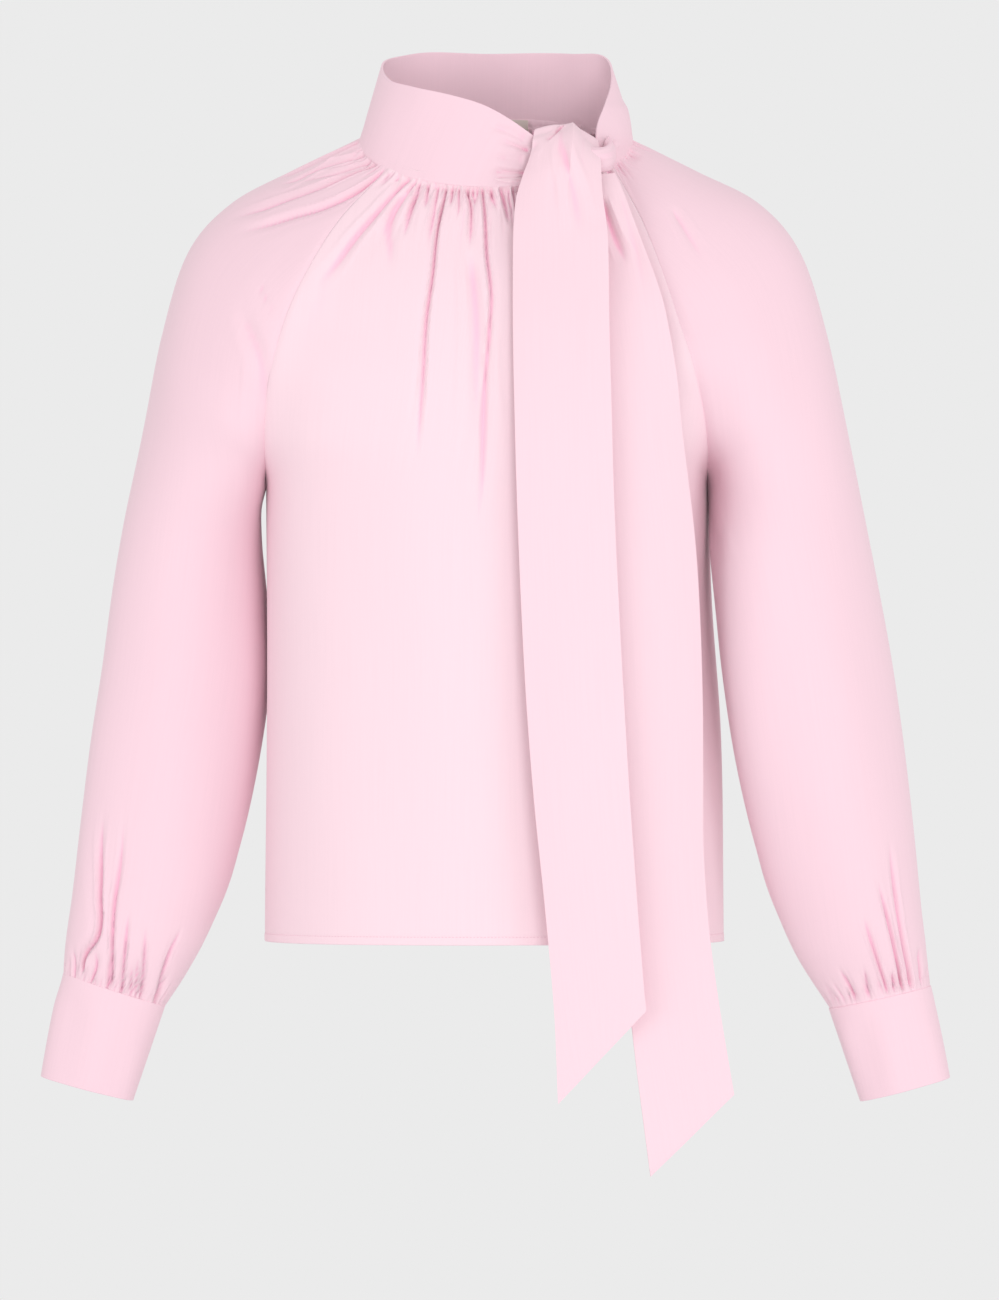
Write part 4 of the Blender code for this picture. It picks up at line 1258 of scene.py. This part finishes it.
tail_front = make_tail(
    "tie_tail_front_cloth", FRONT_TAIL, FRONT_TAIL_CREASES, columns=70, rows=220, top_fold=True
)
tail_back = make_tail(
    "tie_tail_back_cloth", BACK_TAIL, BACK_TAIL_CREASES, columns=56, rows=190
)
sew_in(tail_front, "tie_tail_front")
sew_in(tail_back, "tie_tail_back")

# %% [markdown]
# ## The crossing of the tie
#
# Behind the front tail the strip is bunched together to a thick pleated cord. It is drawn as a
# tube along the crossing's path, with pleats that run along it.

# %% The crossing
BROAD_PLEATS = 4
BROAD_DEPTH = 0.07
FINE_PLEATS = 7
FINE_DEPTH = 0.04


def make_crossing():
    """A tube with a few broad pleats and some fine ones between them, which turn along it."""
    sections = numbered(CROSSING, "x")
    turns = np.linspace(0, 2 * math.pi, 97)
    wheres = np.linspace(0, sections["at"][-1], 41)
    path = np.array([read(sections, "x y z half_height half_depth", where) for where in wheres])
    along = unit(np.gradient(path[:, :3], axis=0))
    points = []
    for section, way, where in zip(path, along, wheres):
        depth = unit(np.cross(way, (0, 0, 1)))
        broad = BROAD_DEPTH * np.cos(BROAD_PLEATS * turns + 0.5 * where)
        pleat = 1 + broad + FINE_DEPTH * np.cos(FINE_PLEATS * turns + 1 - where)
        reach = np.outer(np.sin(turns), (0, 0, section[3]))
        reach = reach + np.outer(np.cos(turns), depth * section[4])
        points.append(section[:3] + reach * pleat[:, None])
    points = np.array(points)
    points[:, -1] = points[:, 0]
    sheet = sheet_of(points, np.linspace(-1, 1, len(turns)), 1)
    return cloth_piece("tie_crossing_cloth", points, sheet.over, sheet.down, True, weld_from=0)


crossing = make_crossing()
sew_in(crossing, "tie_knot")

# %% [markdown]
# ## The label
#
# A small woven label, sewn into the neckline seam inside the back. It is left bare.

# %% The label
LABEL_RAISED = 5.0
LABEL_INSET = 3.6
LABEL_DOWN = 0.085
LABEL_COLUMNS = np.linspace(-1, 1, 45)
LABEL_THICKNESS = 0.5
LABEL_BEVEL = 0.15


def make_label():
    """The label, inside the back panel and a little above the neckline at its top."""
    across = LABEL_CENTRE + LABEL_HALF * LABEL_COLUMNS
    points = np.array([body_row("back", place, across) for place in np.linspace(0, LABEL_DOWN, 25)])
    top = points[0] + (0, 0, LABEL_RAISED)
    raised = [top + (points[0] - top) * share for share in (0, 0.5)]
    sheet = sheet_of(np.concatenate((raised, points)), LABEL_COLUMNS, -1)
    points = lifted(sheet, -LABEL_INSET + 0.3 * np.sin(sheet.over / 5.0))
    return cloth_piece("neck_label_ribbon", points, sheet.over, sheet.down, True, LABEL_THICKNESS,
                       bevel=LABEL_BEVEL)


label = make_label()
sew_in(label, "neck_label")

# %% [markdown]
# ## Poplin
#
# Cotton poplin is a plain weave with fine yarns, smooth and matt, with a faint sheen. Colours are
# given as they look on a screen and turned into linear light by one function.

# %% Colours and nodes
def colour(code):
    """A hex screen colour as linear light."""
    parts = [int(code[i:i + 2], 16) / 255 for i in (1, 3, 5)]
    linear = (p / 12.92 if p <= 0.04045 else ((p + 0.055) / 1.055) ** 2.4 for p in parts)
    return (*linear, 1.0)


def add_node(tree, kind, inputs=None, links=None, **settings):
    """Adds a node, with its settings, its socket values and the links into it."""
    made = tree.nodes.new(kind)
    for name, value in settings.items():
        setattr(made, name, value)
    for socket, value in (inputs or {}).items():
        made.inputs[socket].default_value = value
    for socket, source in (links or {}).items():
        tree.links.new(source, made.inputs[socket])
    return made


def new_material(name, **values):
    """A material, its nodes and its shader, with the values that are the same all over it."""
    material = bpy.data.materials.new(name)
    material.use_nodes = True
    shader = material.node_tree.nodes["Principled BSDF"]
    for socket, value in values.items():
        shader.inputs[socket.replace("_", " ")].default_value = value
    return material, material.node_tree, shader


def shaded(base, share):
    """A colour times a share, or times a share each for red, green and blue."""
    return (*(np.array(base[:3]) * share), 1.0)


def set_stops(made, *stops):
    """The stops of a colour ramp, each with its place and its colour."""
    for element, (place, shade) in zip(made.color_ramp.elements, stops):
        element.position = place
        element.color = shade


print("colours are linear, such as", [round(part, 3) for part in colour("#F1CFDA")])

# %% The poplin material
# Real poplin has about 0.25 mm from yarn to yarn. It is drawn at 0.6 mm, because at the picture's
# one millimetre a pixel the real pitch would only flicker. A wave texture of scale 0.314 repeats
# once in 1 mm of its bands, 0.157 once in 2 mm, and so on.
ONE_MM_WAVE = 0.314
YARN_PITCH = 0.6
# Slubs are thicker stretches of the yarn: about 1.5 mm wide and 8 cm long, down the cloth.
SLUB_SCALE = (0.7, 0.012, 1.0)
SLUB_DARKER = 0.985
# Painted shade: in a hollow of the gathers the pink is made deeper, in these shares of red, green
# and blue.
CREASE_SHADE_PINK = (1.03, 0.84, 0.94)


def poplin(name, code):
    """Pale pink cotton poplin: plain weave, faint slubs down the cloth, a soft sheen, and painted
    shade in the hollows of its creases.
    """
    material, tree, shader = new_material(
        name, Roughness=0.85, Sheen_Weight=0.25, Sheen_Roughness=0.5
    )
    place = add_node(tree, "ShaderNodeUVMap", uv_map=UV_NAME).outputs["UV"]
    warp, weft = (
        add_node(tree, "ShaderNodeTexWave",
                 {"Scale": ONE_MM_WAVE / (2 * YARN_PITCH), "Distortion": 0.0},
                 {"Vector": place}, bands_direction=way)
        for way in "XY"
    )
    weave = add_node(tree, "ShaderNodeMath",
                     links={0: warp.outputs["Fac"], 1: weft.outputs["Fac"]}, operation="MULTIPLY")
    stretched = add_node(tree, "ShaderNodeMapping", {"Scale": SLUB_SCALE}, {"Vector": place})
    slubs = add_node(tree, "ShaderNodeTexNoise", {"Scale": 1.0, "Detail": 3.0},
                     {"Vector": stretched.outputs["Vector"]})
    base = colour(code)
    mixed = add_node(tree, "ShaderNodeValToRGB", links={"Fac": slubs.outputs["Fac"]})
    set_stops(mixed, (0.3, shaded(base, SLUB_DARKER)), (0.6, base))
    # Painted shade: the hollow attribute mixes a deeper, darker pink into the creases.
    sunk = add_node(tree, "ShaderNodeAttribute", attribute_name=HOLLOW_NAME)
    painted_crease_shade = add_node(tree, "ShaderNodeMixRGB", {"Color2": shaded(base, CREASE_SHADE_PINK)},
                    {"Fac": sunk.outputs["Fac"], "Color1": mixed.outputs["Color"]})
    tree.links.new(painted_crease_shade.outputs["Color"], shader.inputs["Base Color"])
    raised = add_node(tree, "ShaderNodeMath",
                      links={0: slubs.outputs["Fac"], 1: weave.outputs["Value"]}, operation="ADD")
    bump = add_node(tree, "ShaderNodeBump", {"Strength": 0.12, "Distance": 0.05 * MM},
                    {"Height": raised.outputs["Value"]})
    tree.links.new(bump.outputs["Normal"], shader.inputs["Normal"])
    return material


# The front and the tie get lighter copies of the same poplin: painted light, for the extra light
# they catch.
for name, code, pieces in (
    ("poplin", "#F1CFDA",
     (back, sleeve_right, sleeve_left, cuff_right, cuff_left, neckband, crossing)),
    ("poplin_front_painted_light", "#F4D6DF", (front,)),
    ("poplin_tie_painted_light", "#F3D2DC", (tail_front, tail_back)),
):
    cloth = poplin(name, code)
    for piece in pieces:
        piece.data.materials.append(cloth)
    print(name, code, "on", len(pieces), "pieces")

# %% [markdown]
# ## Thread and ribbon
#
# The hem is sewn with polyester thread, a little darker and glossier than the cloth. The label is
# a woven ribbon with fine ribs across it, each about 0.7 mm wide.

# %% The thread of the stitches
THREAD_TWIST = 0.5
THREAD_DARKER = 0.88


def thread(name, code):
    """Polyester sewing thread, a little darker and glossier than the cloth, with its twist."""
    material, tree, shader = new_material(name, Roughness=0.5, Sheen_Weight=0.2)
    place = add_node(tree, "ShaderNodeTexCoord")
    twist = add_node(tree, "ShaderNodeTexWave",
                     {"Scale": ONE_MM_WAVE / (THREAD_TWIST * MM), "Distortion": 0.0},
                     {"Vector": place.outputs["Object"]}, bands_direction="DIAGONAL")
    base = colour(code)
    tint = add_node(tree, "ShaderNodeValToRGB", links={"Fac": twist.outputs["Fac"]})
    set_stops(tint, (0.0, shaded(base, THREAD_DARKER)), (1.0, base))
    tree.links.new(tint.outputs["Color"], shader.inputs["Base Color"])
    return material


sewing_thread = thread("sewing_thread", "#EFC6D3")
for piece in (front_stitches, back_stitches):
    piece.data.materials.append(sewing_thread)
print(sewing_thread.name, "on both rows of stitches")

# %% The label's ribbon
RIB_PITCH = 0.7
RIB_DARKER = 0.85


def ribbon(name, code):
    """A woven ribbon with fine ribs across it."""
    material, tree, shader = new_material(name, Roughness=0.6, Sheen_Weight=0.2)
    place = add_node(tree, "ShaderNodeUVMap", uv_map=UV_NAME)
    ribs = add_node(tree, "ShaderNodeTexWave",
                    {"Scale": ONE_MM_WAVE / RIB_PITCH, "Distortion": 0.4},
                    {"Vector": place.outputs["UV"]}, bands_direction="Y")
    base = colour(code)
    tint = add_node(tree, "ShaderNodeValToRGB", links={"Fac": ribs.outputs["Fac"]})
    set_stops(tint, (0.0, shaded(base, RIB_DARKER)), (1.0, base))
    tree.links.new(tint.outputs["Color"], shader.inputs["Base Color"])
    bump = add_node(tree, "ShaderNodeBump", {"Strength": 0.4, "Distance": 0.1 * MM},
                    {"Height": ribs.outputs["Fac"]})
    tree.links.new(bump.outputs["Normal"], shader.inputs["Normal"])
    return material


label.data.materials.append(ribbon("label_ribbon", "#DDD0C8"))
print("label_ribbon with ribs every", RIB_PITCH, "mm")

# %% [markdown]
# ## Stage, light and camera
#
# A plain pale studio: a pale world all round, a round pale floor well under the blouse that fades
# toward its edge, and four soft lights, all from the front. The camera stands level in front of
# the blouse, as the photo's did, and sees the world a little brighter than it shines on the cloth.

# %% The floor
FLOOR_DROP = -0.99
FLOOR_RADIUS = 1.1
FADE_FROM = 0.985
FADE_TO = 1.14
mesh = bmesh.new()
bmesh.ops.create_circle(mesh, cap_ends=True, segments=96, radius=FLOOR_RADIUS)
bmesh.ops.translate(mesh, verts=mesh.verts, vec=(0, 0, FLOOR_DROP))
floor = object_of("floor", mesh)
material, tree, shader = new_material("studio_floor", Roughness=0.9, Base_Color=colour("#EFEFEF"))
place = add_node(tree, "ShaderNodeTexCoord")
length = add_node(tree, "ShaderNodeVectorMath", links={0: place.outputs["Object"]},
                  operation="LENGTH")
fade = add_node(tree, "ShaderNodeMapRange",
                {"From Min": FADE_FROM, "From Max": FADE_TO, "To Min": 1.0, "To Max": 0.0},
                {"Value": length.outputs["Value"]})
tree.links.new(fade.outputs["Result"], shader.inputs["Alpha"])
floor.data.materials.append(material)
print("floor", round(-FLOOR_DROP, 2), "m under the neck")

# %% World, light and camera
WORLD_SEEN = "#EBEBEB"
WORLD_LIGHT = 0.78
LIGHTS_AIM = Vector((0, 0, -0.35))
LENS = 184.6
SENSOR = 36
CLIP_END = 50
world = bpy.data.worlds.new("studio")
bpy.context.scene.world = world
world.use_nodes = True
tree = world.node_tree
plain = tree.nodes["Background"]
plain.inputs["Color"].default_value = colour(WORLD_SEEN)
plain.inputs["Strength"].default_value = 1.0
ambient = add_node(tree, "ShaderNodeBackground",
                   {"Color": colour("#FFFFFF"), "Strength": WORLD_LIGHT})
ray = add_node(tree, "ShaderNodeLightPath")
mix = add_node(tree, "ShaderNodeMixShader",
               links={0: ray.outputs["Is Camera Ray"], 1: ambient.outputs["Background"],
                      2: plain.outputs["Background"]})
tree.links.new(mix.outputs["Shader"], tree.nodes["World Output"].inputs["Surface"])


def soft_light(name, place, size, energy):
    """A large soft disk of light that looks at the blouse. The place and the size are in metres
    and the energy in watts."""
    light = bpy.data.lights.new(name, "AREA")
    light.shape = "DISK"
    light.size = size
    light.energy = energy
    lamp = bpy.data.objects.new(name, light)
    lamp.location = place
    lamp.rotation_euler = (LIGHTS_AIM - Vector(place)).to_track_quat("-Z", "Y").to_euler()
    bpy.context.collection.objects.link(lamp)
    print("light", name, energy, "W")


soft_light("key", (1.3, -3.6, 0.3), 1.5, 27)
soft_light("fill_left", (-2.3, -3.2, -0.3), 2.0, 23)
soft_light("fill_right", (3.2, -2.0, -0.6), 1.8, 12)
soft_light("low", (0.1, -1.9, -0.8), 1.1, 3.2)

camera_data = bpy.data.cameras.new("camera")
camera_data.lens = LENS
camera_data.sensor_width = SENSOR
camera_data.clip_end = CLIP_END
camera = bpy.data.objects.new("camera", camera_data)
camera.location = CAMERA * MM
camera.rotation_euler = (math.pi / 2, 0, 0)
bpy.context.collection.objects.link(camera)
bpy.context.scene.camera = camera
bpy.context.scene.view_settings.view_transform = "Standard"
